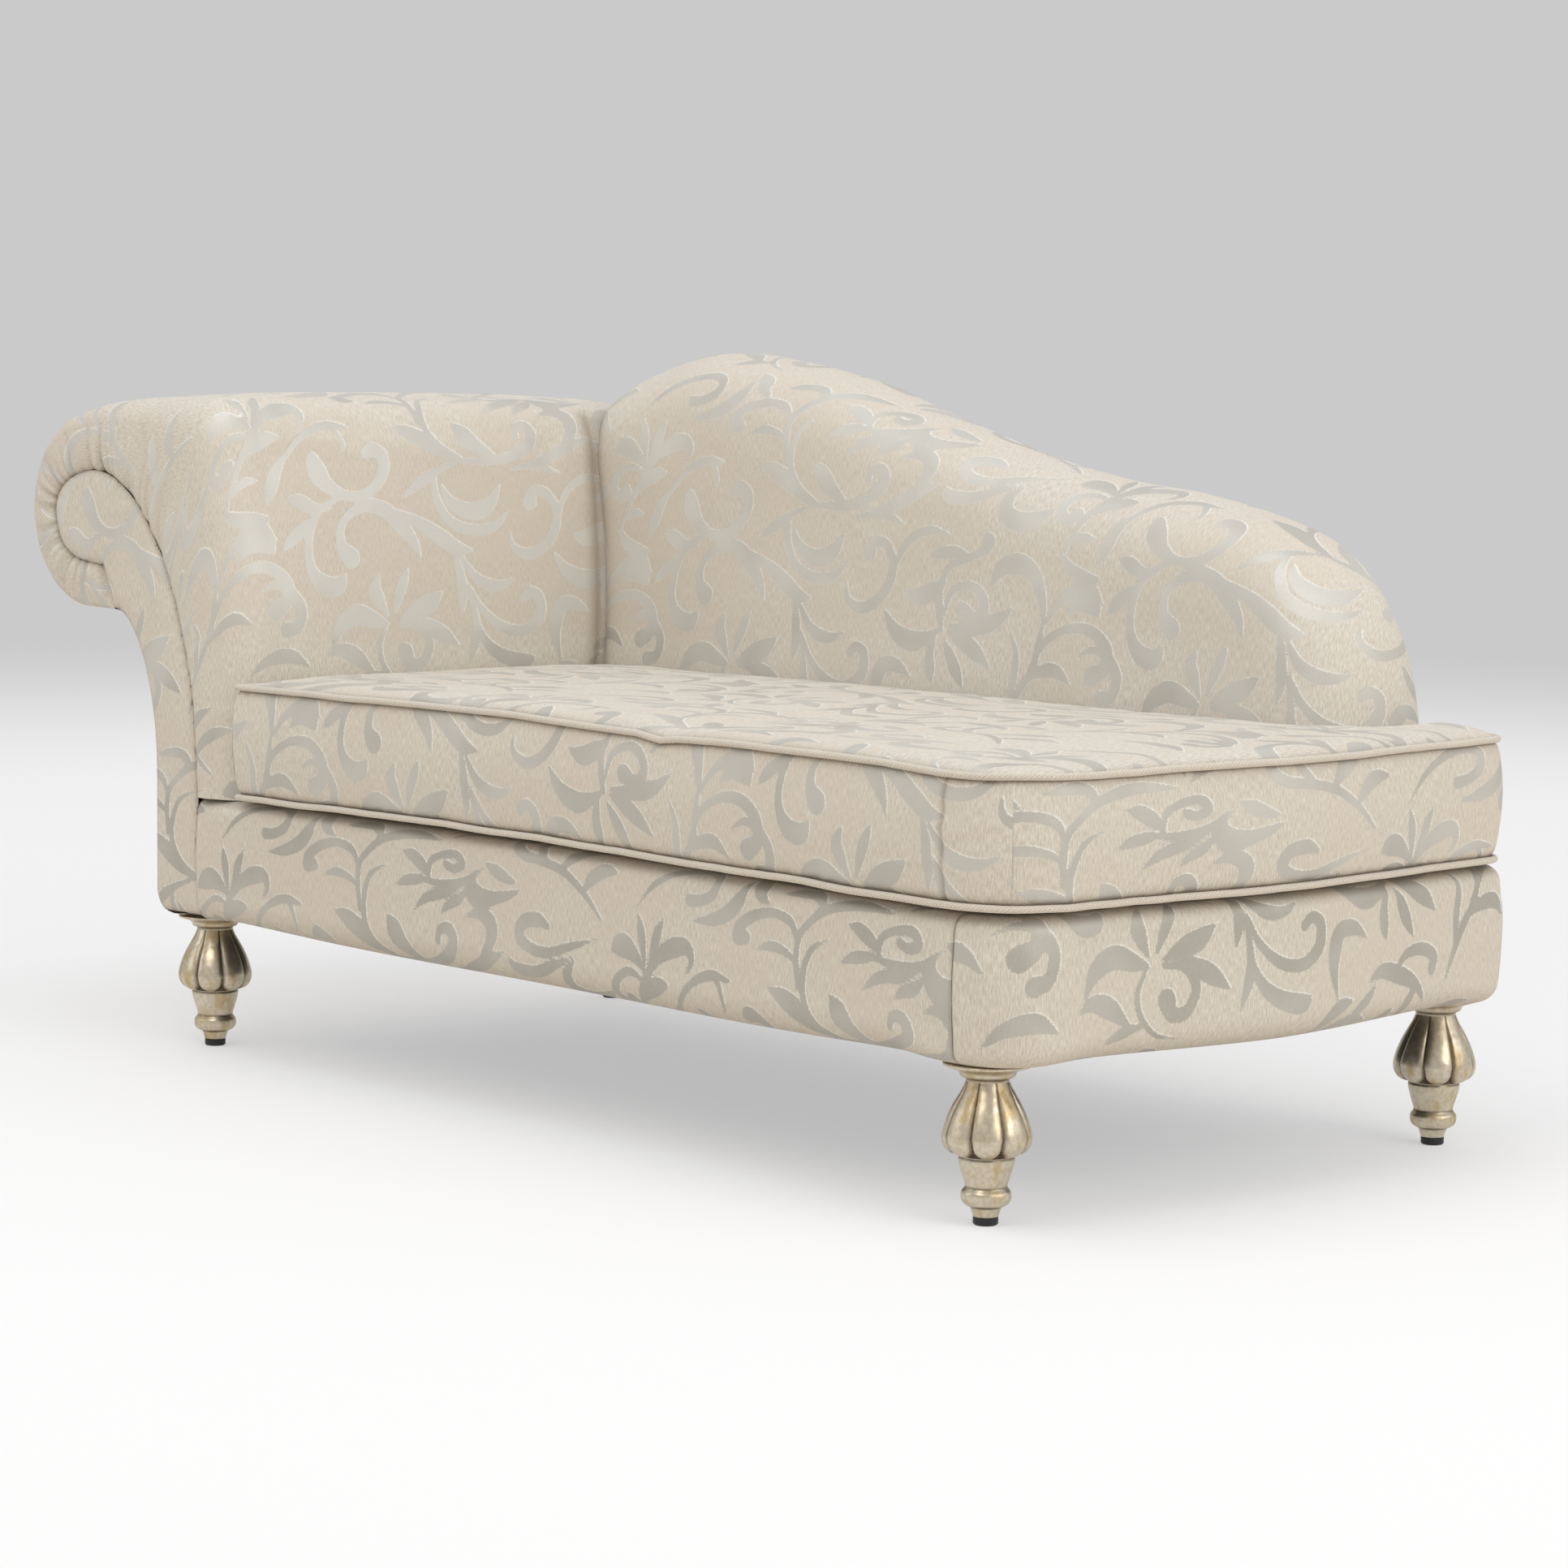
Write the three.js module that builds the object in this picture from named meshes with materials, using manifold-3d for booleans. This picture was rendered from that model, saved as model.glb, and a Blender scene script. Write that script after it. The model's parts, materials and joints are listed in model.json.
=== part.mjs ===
// A recamier: a long padded seat with one scroll arm, a serpentine back that ends before the foot end,
// one loose boxed cushion and four carved feet. Millimetres, +Z up, the arm at -X and the back at +Y.
// Everything is laid out from the front right foot's axis on the floor, and the whole is then centred.
import * as THREE from 'three';
import { mergeVertices } from 'three/addons/utils/BufferGeometryUtils.js';
import Module from 'manifold-3d';

const wasm = await Module();
wasm.setup();

// Where the feet stand
const frontFeetSpan = 1365;
const footDepthSpan = 687;
const armFootSetback = 55;

// The base: how far its faces stand out from the foot axes, and its plan's curves
const baseHeight = 146;
const footSeatGap = 2;
const endOverhang = 75;
const frontOverhang = 48;
const rearOverhang = 38;
const armOverhang = 47;
const frontSlant = 50;
const frontHollow = 18;
const endBow = 23;
const frontCornerRadius = 75;
const rearCornerRadius = 50;

// The padded borders and the wood inside them
const borderPadding = 20;
const bottomRollRadius = 32;
const topRollRadius = 16;
const borderTopFlange = 46;
const borderBottomFlange = 60;
const borderFlangeThickness = 9;
const railThickness = 30;
const railBottomRise = 22.5;
const railTopDrop = 13;
const postReach = 40;
const braceHeight = 70;
const webbingWidth = 60;
const webbingThickness = 1.5;
const crossWebbingCount = 8;
const longWebbingCount = 2;
const dustCoverThickness = 1;
const dustCoverInset = 30;

// The arm
const armThickness = 172;
const facingWidth = 88;
const facingThickness = 8;
const armFacingSetback = 3;
const rollRadius = 120;
const rollCentreHeight = 643;
const rollOverhang = 152;
const armStraightRise = 25;
const armCrestHeight = 783;
const armCrestDip = 18;
const armCrestDipLength = 250;
const armLean = 41;
const armInnerCornerRadius = 50;
const armDepth = 740;
const rollPadding = 26;
const boardThickness = 20;
const boardInset = 20;
const innerRailHeight = 60;
const innerRailThickness = 18;
const rollRailSize = 50;
const armSkirtTopHeight = 512;
const facingInset = 3;
const facingSeat = 3;

// The back
const backDepth = 175;
const backHeight = 841;
const backEndInset = 98;
const backRake = 35;
const backArmOverlap = 145;
const backFrontRound = 100;
const backCrestRound = 80;
const backRearRound = 58;
const backRearInset = 50;
const backPadding = 36;
const backFrameThickness = 30;
const backRearPanel = 10;
const topRailHeight = 70;
const stileWidth = 55;
const bottomRailHeight = 70;
const bottomRailLift = 22;

// The cushion and its welts
const boxingHeight = 126;
const cushionEdgeRise = 10;
const cushionCrown = 26;
const cushionOverhang = 6.5;
const cushionFit = 9;
const cushionRearLength = 705;
const cushionRearRadius = 45;
const boxingBulge = 6;
const pipingRadius = 3.5;
const seamRecess = 4.6;
const wrapCornerRadius = 14;
const cushionTopShoulder = 26;
const cushionUndersideInset = 45;

// The feet
const footHeight = 160;
const glideHeight = 8;
const glideRadius = 12.5;
const glideChamfer = 1.6;
const footTipRadius = 12.5;
const footRingRadius = 25;
const footRingHeight = 29;
const footTaperRadius = 30;
const lobeBottomHeight = 69;
const lobeRadius = 44;
const lobeCount = 8;
const lobeGroove = 5;
const footNeckHeight = 142;
const footNeckRadius = 21;
const footTopRadius = 44;
const boltRadius = 4;
const boltPointRadius = 1.3;
const boltChamfer = 0.8;
const boltInFoot = 38;
const boltInPost = 52;
const plateSize = 54;
const plateThickness = 3;

// Clearances
const fitGap = 0.3;
const boltGap = 0.45;
const overrun = 50;
const sharpRadius = 0.5;
const nearestPoints = 0.03;
const mergeDistance = 0.0003;

// Facet counts
const cornerSteps = 6;
const spanSteps = 10;
const roundSides = 12;
const pipingSides = 6;
const lobeSides = 4;
const rollSteps = 4;
const scrollSteps = 14;
const facingSeamSteps = 34;
const backLinePoints = 36;
const backEdgeSteps = 400;
const endCells = 5;
const wrapCells = 5;
const seatCells = 15;
const depthCells = 8;

// The back's crest line: shares of its length from the arm, and of its height above the seat
const backLineShares = [
  [0, 0.8], [0.063, 0.892], [0.12, 0.96], [0.195, 1], [0.286, 0.983], [0.392, 0.936], [0.493, 0.858],
  [0.592, 0.79], [0.686, 0.745], [0.777, 0.719], [0.865, 0.675], [0.915, 0.628], [0.952, 0.547],
  [0.98, 0.424], [0.996, 0.26], [1, 0],
];

// How much closer the crest line's points stand towards the back's free end
const backEndCrowdingShare = 0.75;

// The front panel's seam round the scroll's eye: shares of a turn, and of the roll's radius
const voluteShares = [
  [-0.16, 0.66], [-0.235, 0.55], [-0.325, 0.56], [-0.4, 0.6], [-0.47, 0.6], [-0.525, 0.55], [-0.6, 0.46],
  [-0.68, 0.41], [-0.825, 0.47], [-0.925, 0.66], [-0.985, 0.93], [-1.03, 1.22],
];

// Below the scroll the seam comes down to the straight part through these points
const facingSeamShares = [[0.62, 0.68], [0.14, 0.24]];

// Where the arm's curves start and how far their handles pull
const armCurveShares = {
  neck: 0.55,
  outerRise: 0.56,
  outerTurn: 0.54,
  leaveTurn: 0.32,
  crestStart: [0.24, 0.82],
  crestEnd: 0.56,
  cornerStart: 0.6,
  cornerEnd: [0.88, 0.4],
  faceStart: [0.2, 0.2],
  faceEnd: 0.6,
};
const armDipShares = [[0.5, 0.3], [1, 1]];
const armEdgeShares = [[0, 0.8], [0.25, 0.3], [1, 0]];
const mitreLimitShare = 0.35;

// The cushion's boxing between its welts: shares of its height, and of its bulge
const boxingShares = [[0.1, 0], [0.5, 1], [0.9, 0]];
const seamLipShare = 1.3;

// The foot's turning below the lobes, the swell of the lobes, and the flange above them
const footRingShares = [[0.62, 0.52], [0.7, 0.86], [1, 1], [1.28, 0.86], [1.4, 0.84]];
const lobeSwellShares = [
  [0, 0.86], [0.12, 0.965], [0.33, 1], [0.55, 0.94], [0.76, 0.78], [0.9, 0.62], [1, 0.5],
];
const lobeDepthShares = [0.25, 0.7];
const footFlangeShares = [[0.3, 0.62], [0.5, 0.72], [0.72, 0.97], [1, 1]];

// Heights that follow from the sizes
const baseBottomHeight = footHeight + footSeatGap;
const baseTopHeight = baseBottomHeight + baseHeight;
const railBottomHeight = baseBottomHeight + railBottomRise;
const railTopHeight = baseTopHeight - railTopDrop;
const armStraightHeight = baseTopHeight + armStraightRise;
const cushionLowerEdgeHeight = baseTopHeight + cushionEdgeRise;
const cushionEdgeHeight = cushionLowerEdgeHeight + boxingHeight;

// Stations that follow from the sizes
const endFaceX = endOverhang;
const frontCornerY = -frontOverhang;
const armFaceX = -frontFeetSpan - armOverhang;
const armInnerX = armFaceX + armThickness;
const facingSeamX = armFaceX + facingWidth;
const frontAtArmY = frontSlant - frontOverhang;
const armFrontY = frontAtArmY - armFacingSetback - fitGap;
const armRearY = armFrontY + armDepth;
const rearFaceY = footDepthSpan + rearOverhang;
const seatTop = baseTopHeight + fitGap;
const softBottom = seatTop + fitGap;
const rollCentreX = armFaceX - rollOverhang;
const backLeftX = armInnerX - backArmOverlap;
const backRightX = endFaceX - backEndInset;
const backFrontY = rearFaceY - backDepth;
const backPadRearY = rearFaceY - backRearPanel;
const backFrameY = rearFaceY - borderPadding - railThickness - fitGap - backFrameThickness;
const boardInnerX = facingSeamX - 2 * fitGap;
const deckInset = borderTopFlange + fitGap;
const deckBottom = baseTopHeight - borderFlangeThickness;

const feet = [
  { name: 'front_left', x: -frontFeetSpan, y: armFootSetback },
  { name: 'front_right', x: 0, y: 0 },
  { name: 'rear_right', x: 0, y: footDepthSpan },
  { name: 'rear_left', x: -frontFeetSpan, y: footDepthSpan },
];

// Finishes
const fabric = () => new THREE.MeshStandardMaterial({ color: 0xd8cdbd, roughness: 0.85, metalness: 0 });
const pipingCloth = () => new THREE.MeshStandardMaterial({ color: 0xcfc3b0, roughness: 0.85, metalness: 0 });
const beech = () => new THREE.MeshStandardMaterial({ color: 0xc9a06c, roughness: 0.6, metalness: 0 });
const jute = () => new THREE.MeshStandardMaterial({ color: 0xa98b5f, roughness: 0.9, metalness: 0 });
const blackCloth = () => new THREE.MeshStandardMaterial({ color: 0x1d1c1b, roughness: 0.95, metalness: 0 });
const silverLeaf = () => new THREE.MeshStandardMaterial({ color: 0xb5a688, roughness: 0.38, metalness: 0.6 });
const blackNylon = () => new THREE.MeshStandardMaterial({ color: 0x202020, roughness: 0.5, metalness: 0 });
const zincSteel = () => new THREE.MeshStandardMaterial({ color: 0xb9bcc0, roughness: 0.35, metalness: 0.9 });

// Small helpers for numbers and outlines
const lerp = THREE.MathUtils.lerp;
const unit = (value) => THREE.MathUtils.clamp(value, 0, 1);
const range = (count) => Array.from({ length: count }, (_, i) => i);

function alongSpline(points, count) {
  return new THREE.SplineCurve(points).getPoints(count);
}

function alongBezier(start, firstPull, secondPull, end, count) {
  return new THREE.CubicBezierCurve(start, firstPull, secondPull, end).getPoints(count);
}

function arc(centreX, centreY, radius, fromTurn, toTurn, steps) {
  return range(steps + 1).map((i) => {
    const angle = 2 * Math.PI * lerp(fromTurn, toTurn, i / steps);
    return new THREE.Vector2(centreX + radius * Math.cos(angle), centreY + radius * Math.sin(angle));
  });
}

function withoutRepeats(points) {
  return points.filter((point, i) => point.distanceTo(points[(i + 1) % points.length]) > nearestPoints);
}

// Moves a closed counterclockwise outline inwards by a distance, mitred at its corners
function inset(outline, distance) {
  const count = outline.length;
  return outline.map((point, i) => {
    const before = point.clone().sub(outline[(i + count - 1) % count]).normalize();
    const after = outline[(i + 1) % count].clone().sub(point).normalize();
    const first = new THREE.Vector2(-before.y, before.x);
    const second = new THREE.Vector2(-after.y, after.x);
    const stretch = 1 / Math.max(1 + first.dot(second), mitreLimitShare);
    return point.clone().addScaledVector(first.clone().add(second), distance * stretch);
  });
}

function counterclockwise(outline) {
  return THREE.ShapeUtils.isClockWise(outline) ? outline.slice().reverse() : outline;
}

// Closed solids
function signedVolume(geometry) {
  const place = geometry.getAttribute('position');
  const index = geometry.getIndex();
  const corners = [new THREE.Vector3(), new THREE.Vector3(), new THREE.Vector3()];
  let sum = 0;
  for (let i = 0; i < index.count; i += 3) {
    corners.forEach((corner, k) => corner.fromBufferAttribute(place, index.getX(i + k)));
    sum += corners[0].dot(corners[1].clone().cross(corners[2])) / 6;
  }
  return sum;
}

function sealed(geometry) {
  geometry.deleteAttribute('normal');
  geometry.deleteAttribute('uv');
  const merged = mergeVertices(geometry, mergeDistance);
  if (signedVolume(merged) < 0) {
    const list = Array.from(merged.getIndex().array);
    for (let i = 0; i < list.length; i += 3) {
      [list[i + 1], list[i + 2]] = [list[i + 2], list[i + 1]];
    }
    merged.setIndex(list);
  }
  return merged;
}

function toManifold(geometry) {
  const merged = sealed(geometry.clone());
  const vertProperties = Float32Array.from(merged.getAttribute('position').array);
  const triVerts = Uint32Array.from(merged.getIndex().array);
  return new wasm.Manifold(new wasm.Mesh({ numProp: 3, vertProperties, triVerts }));
}

function fromManifold(solid) {
  const mesh = solid.getMesh();
  const geometry = new THREE.BufferGeometry();
  geometry.setAttribute('position', new THREE.Float32BufferAttribute(mesh.vertProperties, 3));
  geometry.setIndex(Array.from(mesh.triVerts));
  return geometry;
}

function cut(geometry, ...tools) {
  const whole = toManifold(geometry);
  return fromManifold(tools.reduce((solid, tool) => solid.subtract(toManifold(tool)), whole));
}

function shared(geometry, ...tools) {
  const whole = toManifold(geometry);
  return fromManifold(tools.reduce((solid, tool) => solid.intersect(toManifold(tool)), whole));
}

function block(x0, x1, y0, y1, z0, z1) {
  const geometry = new THREE.BoxGeometry(x1 - x0, y1 - y0, z1 - z0);
  return geometry.translate((x0 + x1) / 2, (y0 + y1) / 2, (z0 + z1) / 2);
}

// A plan outline raised between two heights
function raised(outline, z0, z1) {
  const shape = new THREE.Shape(withoutRepeats(outline));
  const geometry = new THREE.ExtrudeGeometry(shape, { depth: z1 - z0, bevelEnabled: false });
  return geometry.translate(0, 0, z0);
}

// Stacks outlines drawn in x and z, one ring at each depth, with a flat cap at each end
function stackedAlongY(rings) {
  const count = rings[0].outline.length;
  const points = rings.flatMap(({ outline, y }) => outline.flatMap((point) => [point.x, y, point.y]));
  const triangles = [];
  for (let ring = 0; ring + 1 < rings.length; ring += 1) {
    for (let i = 0; i < count; i += 1) {
      const next = (i + 1) % count;
      const a = ring * count + i;
      const b = ring * count + next;
      triangles.push(a, b, b + count, a, b + count, a + count);
    }
  }
  const first = THREE.ShapeUtils.triangulateShape(rings[0].outline, []);
  const last = THREE.ShapeUtils.triangulateShape(rings[rings.length - 1].outline, []);
  const start = (rings.length - 1) * count;
  first.forEach(([a, b, c]) => triangles.push(a, c, b));
  last.forEach(([a, b, c]) => triangles.push(start + a, start + b, start + c));
  const geometry = new THREE.BufferGeometry();
  geometry.setAttribute('position', new THREE.Float32BufferAttribute(points, 3));
  geometry.setIndex(triangles);
  return sealed(geometry);
}

function prismAlongY(outline, y0, y1) {
  const clean = withoutRepeats(outline);
  return stackedAlongY([{ outline: clean, y: y0 }, { outline: clean, y: y1 }]);
}

// Sweeps a closed section round a list of frames, open with two caps or closed on itself
function swept(frames, closed) {
  const count = frames[0].length;
  const points = frames.flatMap((ring) => ring.flatMap((point) => [point.x, point.y, point.z]));
  const triangles = [];
  const steps = closed ? frames.length : frames.length - 1;
  for (let ring = 0; ring < steps; ring += 1) {
    const nextRing = (ring + 1) % frames.length;
    for (let i = 0; i < count; i += 1) {
      const next = (i + 1) % count;
      const corners = [ring * count + i, ring * count + next, nextRing * count + next, nextRing * count + i];
      triangles.push(corners[0], corners[1], corners[2], corners[0], corners[2], corners[3]);
    }
  }
  const geometry = new THREE.BufferGeometry();
  if (!closed) {
    const flat = flatSection(frames[0]);
    const last = (frames.length - 1) * count;
    THREE.ShapeUtils.triangulateShape(flat, []).forEach(([a, b, c]) => {
      triangles.push(a, c, b, last + a, last + b, last + c);
    });
  }
  geometry.setAttribute('position', new THREE.Float32BufferAttribute(points, 3));
  geometry.setIndex(triangles);
  return sealed(geometry);
}

// A section's points in its own plane, which holds the upright direction
function flatSection(ring) {
  const across = ring.reduce((best, point) => {
    const way = point.clone().sub(ring[0]).setZ(0);
    return way.length() > best.length() ? way : best;
  }, new THREE.Vector3());
  across.normalize();
  return ring.map((point) => new THREE.Vector2(point.clone().sub(ring[0]).dot(across), point.z));
}

// The base's plan outline at a distance inside its faces, counterclockwise from the arm's front corner.
// Every distance gives as many points, so that points of two outlines match.
function basePlan(distance) {
  const frontRadius = Math.max(frontCornerRadius - distance, sharpRadius);
  const rearRadius = Math.max(rearCornerRadius - distance, sharpRadius);
  const frontReach = distance + frontRadius;
  const frontCentre = new THREE.Vector2(endFaceX - frontReach, frontCornerY + frontReach);
  const rearCentre = new THREE.Vector2(endFaceX - distance - rearRadius, rearFaceY - distance - rearRadius);
  const front = range(spanSteps + 1).map((i) => {
    const share = i / (spanSteps + 1);
    const hollow = frontHollow * Math.sin(Math.PI * share) ** 2;
    const y = lerp(frontAtArmY, frontCornerY, share) + hollow + distance;
    return new THREE.Vector2(lerp(facingSeamX, frontCentre.x, share), y);
  });
  const end = range(spanSteps).map((i) => {
    const share = (i + 1) / (spanSteps + 1);
    const bow = endBow * Math.sin(Math.PI * share) ** 2;
    return new THREE.Vector2(endFaceX + bow - distance, lerp(frontCentre.y, rearCentre.y, share));
  });
  return [
    new THREE.Vector2(armFaceX + distance, frontAtArmY + distance),
    ...front,
    ...arc(frontCentre.x, frontCentre.y, frontRadius, -1 / 4, 0, cornerSteps),
    ...end,
    ...arc(rearCentre.x, rearCentre.y, rearRadius, 0, 1 / 4, cornerSteps),
    new THREE.Vector2(armFaceX + distance, rearFaceY - distance),
  ];
}

const frontSeamIndex = spanSteps + 2;
const rearSeamIndex = basePlan(0).length - 2;

// The border's section: distance in from the face, and height
function borderSection() {
  const bottom = baseBottomHeight;
  const top = baseTopHeight;
  const underRail = railBottomHeight - fitGap;
  const overRail = top - borderFlangeThickness + fitGap;
  const lower = arc(bottomRollRadius, bottom + bottomRollRadius, bottomRollRadius, 3 / 4, 1 / 2, rollSteps);
  const upper = arc(topRollRadius, top - topRollRadius, topRollRadius, 1 / 2, 1 / 4, rollSteps - 1);
  const inner = [
    new THREE.Vector2(borderTopFlange, top),
    new THREE.Vector2(borderTopFlange, overRail),
    new THREE.Vector2(borderPadding, overRail),
    new THREE.Vector2(borderPadding, underRail),
    new THREE.Vector2(borderBottomFlange, underRail),
    new THREE.Vector2(borderBottomFlange, bottom),
  ];
  return [...lower, ...upper, ...inner];
}

// A border panel between two points of the plan, set off a little from the panel before it
function borderPanel(fromIndex, toIndex, startGap) {
  const section = borderSection();
  const plans = section.map((mark) => basePlan(mark.x));
  const along = plans[0][fromIndex + 1].clone().sub(plans[0][fromIndex]).normalize().multiplyScalar(startGap);
  const frames = range(toIndex - fromIndex + 1).map((i) => section.map((mark, k) => {
    const point = plans[k][fromIndex + i];
    const shift = i === 0 ? along : new THREE.Vector2();
    return new THREE.Vector3(point.x + shift.x, point.y + shift.y, mark.y);
  }));
  return swept(frames, false);
}

// Posts, rails and the seat's deck
function postBox(foot, grow, z0, z1) {
  const isRight = foot.x === 0;
  const isRear = foot.y === footDepthSpan;
  const inward = postReach + grow;
  const outward = 2 * overrun;
  const x0 = isRight ? foot.x - inward : foot.x - outward;
  const x1 = isRight ? foot.x + outward : foot.x + inward;
  const y0 = isRear ? foot.y - inward : foot.y - outward;
  const y1 = isRear ? foot.y + outward : foot.y + inward;
  return block(x0, x1, y0, y1, z0, z1);
}

function postShape(foot, grow, z0, z1) {
  const outline = basePlan(borderPadding + fitGap - grow);
  return shared(raised(outline, z0, z1), postBox(foot, grow, z0, z1));
}

function boltBore(foot, height, depth) {
  const bore = new THREE.CylinderGeometry(boltRadius + boltGap, boltRadius + boltGap, 2 * depth, roundSides);
  return bore.rotateX(Math.PI / 2).translate(foot.x, foot.y, height);
}

function cornerPost(foot) {
  const z0 = footHeight + plateThickness + 2 * fitGap;
  return cut(postShape(foot, 0, z0, railTopHeight), boltBore(foot, z0, boltInPost));
}

function railRing() {
  const outer = basePlan(borderPadding + fitGap);
  const inner = basePlan(borderPadding + fitGap + railThickness);
  return cut(raised(outer, railBottomHeight, railTopHeight),
    raised(inner, railBottomHeight - overrun, railTopHeight + overrun));
}

function railBetween(x0, x1, y0, y1) {
  return shared(railRing(), block(x0, x1, y0, y1, 0, railTopHeight + overrun));
}

function crossStrapX(i) {
  const left = armInnerX + stileWidth;
  const right = endFaceX - borderPadding - railThickness;
  return lerp(left, right, (i + 1 / 2) / crossWebbingCount);
}

function straps() {
  const ends = railThickness / 2 + borderPadding;
  const z0 = railTopHeight + fitGap;
  const cross = range(crossWebbingCount).map((i) => {
    const x = crossStrapX(i);
    const front = frontAtY(x) + ends;
    const half = webbingWidth / 2;
    return block(x - half, x + half, front, rearFaceY - ends, z0, z0 + webbingThickness);
  });
  const z1 = z0 + webbingThickness + fitGap;
  const along = range(longWebbingCount).map((i) => {
    const y = lerp(0, backFrontY, (i + 1) / (longWebbingCount + 1));
    const half = webbingWidth / 2;
    return block(armFaceX + ends, endFaceX - ends, y - half, y + half, z1, z1 + webbingThickness);
  });
  return { cross, along };
}

// The front face's place at one x, read from the base outline
function frontAtY(x) {
  const outline = basePlan(0);
  const k = outline.findIndex((point) => point.x >= x);
  const share = (x - outline[k - 1].x) / (outline[k].x - outline[k - 1].x);
  return lerp(outline[k - 1].y, outline[k].y, share);
}

function deckPad() {
  const z0 = deckBottom + fitGap;
  const field = raised(basePlan(deckInset), z0, seatTop);
  const left = armFaceX - overrun;
  const armSide = block(left, facingSeamX + fitGap, -overrun, rearFaceY + overrun, 0, armCrestHeight);
  return cut(field, armSide, ...stileSpots().map((x) => stileClearance(x)));
}

function dustCover() {
  const top = baseBottomHeight - fitGap;
  const sheet = raised(basePlan(dustCoverInset), top - dustCoverThickness, top);
  return cut(sheet, ...feet.map((foot) => postShape(foot, fitGap, 0, railTopHeight)));
}

// The arm's outline in x and z, counterclockwise
function armOutline() {
  const shares = armCurveShares;
  const neck = new THREE.Vector2(rollCentreX + rollRadius * shares.neck, rollCentreHeight - rollRadius);
  const leave = arc(rollCentreX, rollCentreHeight, rollRadius, shares.leaveTurn, shares.leaveTurn, 1)[0];
  const crest = new THREE.Vector2(armInnerX - armLean - armInnerCornerRadius, armCrestHeight);
  const shoulder = new THREE.Vector2(armInnerX - armLean, armCrestHeight - armInnerCornerRadius);
  const outer = alongBezier(
    new THREE.Vector2(armFaceX, armStraightHeight),
    new THREE.Vector2(armFaceX, lerp(armStraightHeight, neck.y, shares.outerRise)),
    new THREE.Vector2(lerp(armFaceX, neck.x, shares.outerTurn), neck.y),
    neck, 2 * rollSteps);
  const roll = arc(rollCentreX, rollCentreHeight, rollRadius, 3 / 4, shares.leaveTurn, scrollSteps);
  const crestLine = alongBezier(
    leave,
    between(leave, crest, shares.crestStart),
    new THREE.Vector2(lerp(leave.x, crest.x, shares.crestEnd), armCrestHeight),
    crest, rollSteps + 1);
  const corner = alongBezier(
    crest,
    new THREE.Vector2(lerp(crest.x, shoulder.x, shares.cornerStart), armCrestHeight),
    between(crest, shoulder, shares.cornerEnd),
    shoulder, rollSteps);
  const hip = new THREE.Vector2(armInnerX, cushionEdgeHeight);
  const innerFace = alongBezier(
    shoulder,
    between(shoulder, hip, shares.faceStart),
    new THREE.Vector2(armInnerX, lerp(shoulder.y, hip.y, shares.faceEnd)),
    hip, rollSteps + 1);
  const bottomX = armFaceX + bottomRollRadius;
  const bottom = [
    new THREE.Vector2(armInnerX, baseBottomHeight),
    new THREE.Vector2(bottomX, baseBottomHeight),
  ];
  const bottomRoll = arc(
    bottomX, baseBottomHeight + bottomRollRadius, bottomRollRadius, 3 / 4, 1 / 2, rollSteps - 1);
  const all = [...bottomRoll, ...outer, ...roll, ...crestLine, ...corner, ...innerFace, ...bottom];
  return counterclockwise(withoutRepeats(all));
}

function between(first, second, [across, along]) {
  return new THREE.Vector2(lerp(first.x, second.x, across), lerp(first.y, second.y, along));
}

const armShape = armOutline();
const armPadRearY = armRearY - facingThickness - fitGap;

// The crest falls a little towards the back
function dipped(outline, dip) {
  return outline.map((point) => {
    const up = Math.max(0, point.y - rollCentreHeight) / (armCrestHeight - rollCentreHeight);
    return new THREE.Vector2(point.x, point.y - dip * up);
  });
}

function armRun(outline) {
  const start = armRearY - armCrestDipLength;
  const rings = armDipShares.map(([along, down]) => ({
    outline: dipped(outline, armCrestDip * down), y: lerp(start, armPadRearY, along),
  }));
  return [{ outline, y: start }, ...rings];
}

// The front panel's outline: a strip up the arm that winds into the scroll's eye
function facingOutline() {
  const edge = inset(armShape, facingInset);
  const neckX = rollCentreX + rollRadius * armCurveShares.neck;
  const strip = edge.filter((point) => point.x < facingSeamX && point.x > neckX)
    .filter((point) => point.y < rollCentreHeight - rollRadius / 2)
    .sort((a, b) => a.y - b.y);
  const eye = voluteShares.map(([turn, out]) => {
    const angle = 2 * Math.PI * turn;
    const away = new THREE.Vector2(Math.cos(angle), Math.sin(angle)).multiplyScalar(rollRadius * out);
    return new THREE.Vector2(rollCentreX, rollCentreHeight).add(away);
  });
  const sideX = facingSeamX - facingInset;
  const straight = new THREE.Vector2(sideX, armStraightHeight);
  const scroll = new THREE.Vector2(eye[eye.length - 1].x, rollCentreHeight);
  const side = facingSeamShares.map((share) => between(straight, scroll, share));
  const low = new THREE.Vector2(sideX, (baseTopHeight + armStraightHeight) / 2);
  const seam = alongSpline([...eye, ...side, low], facingSeamSteps);
  const foot = [new THREE.Vector2(facingSeamX, baseBottomHeight + facingInset)];
  return counterclockwise(withoutRepeats([...strip, ...seam, ...foot]));
}

function armFrontFacing() {
  return prismAlongY(facingOutline(), armFrontY + facingSeat - facingThickness, armFrontY + facingSeat);
}

const frontBoardY = armFrontY + boardThickness;
const rearBoardY = armPadRearY - 2 * boardThickness;

function boardCore(y0, y1, grow) {
  const core = prismAlongY(inset(armShape, boardInset + fitGap - grow), y0, y1);
  const zone = block(rollCentreX - rollRadius, boardInnerX + grow, y0 - overrun, y1 + overrun,
    railTopHeight + fitGap - grow, armCrestHeight - rollPadding + grow);
  return shared(core, zone);
}

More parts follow.
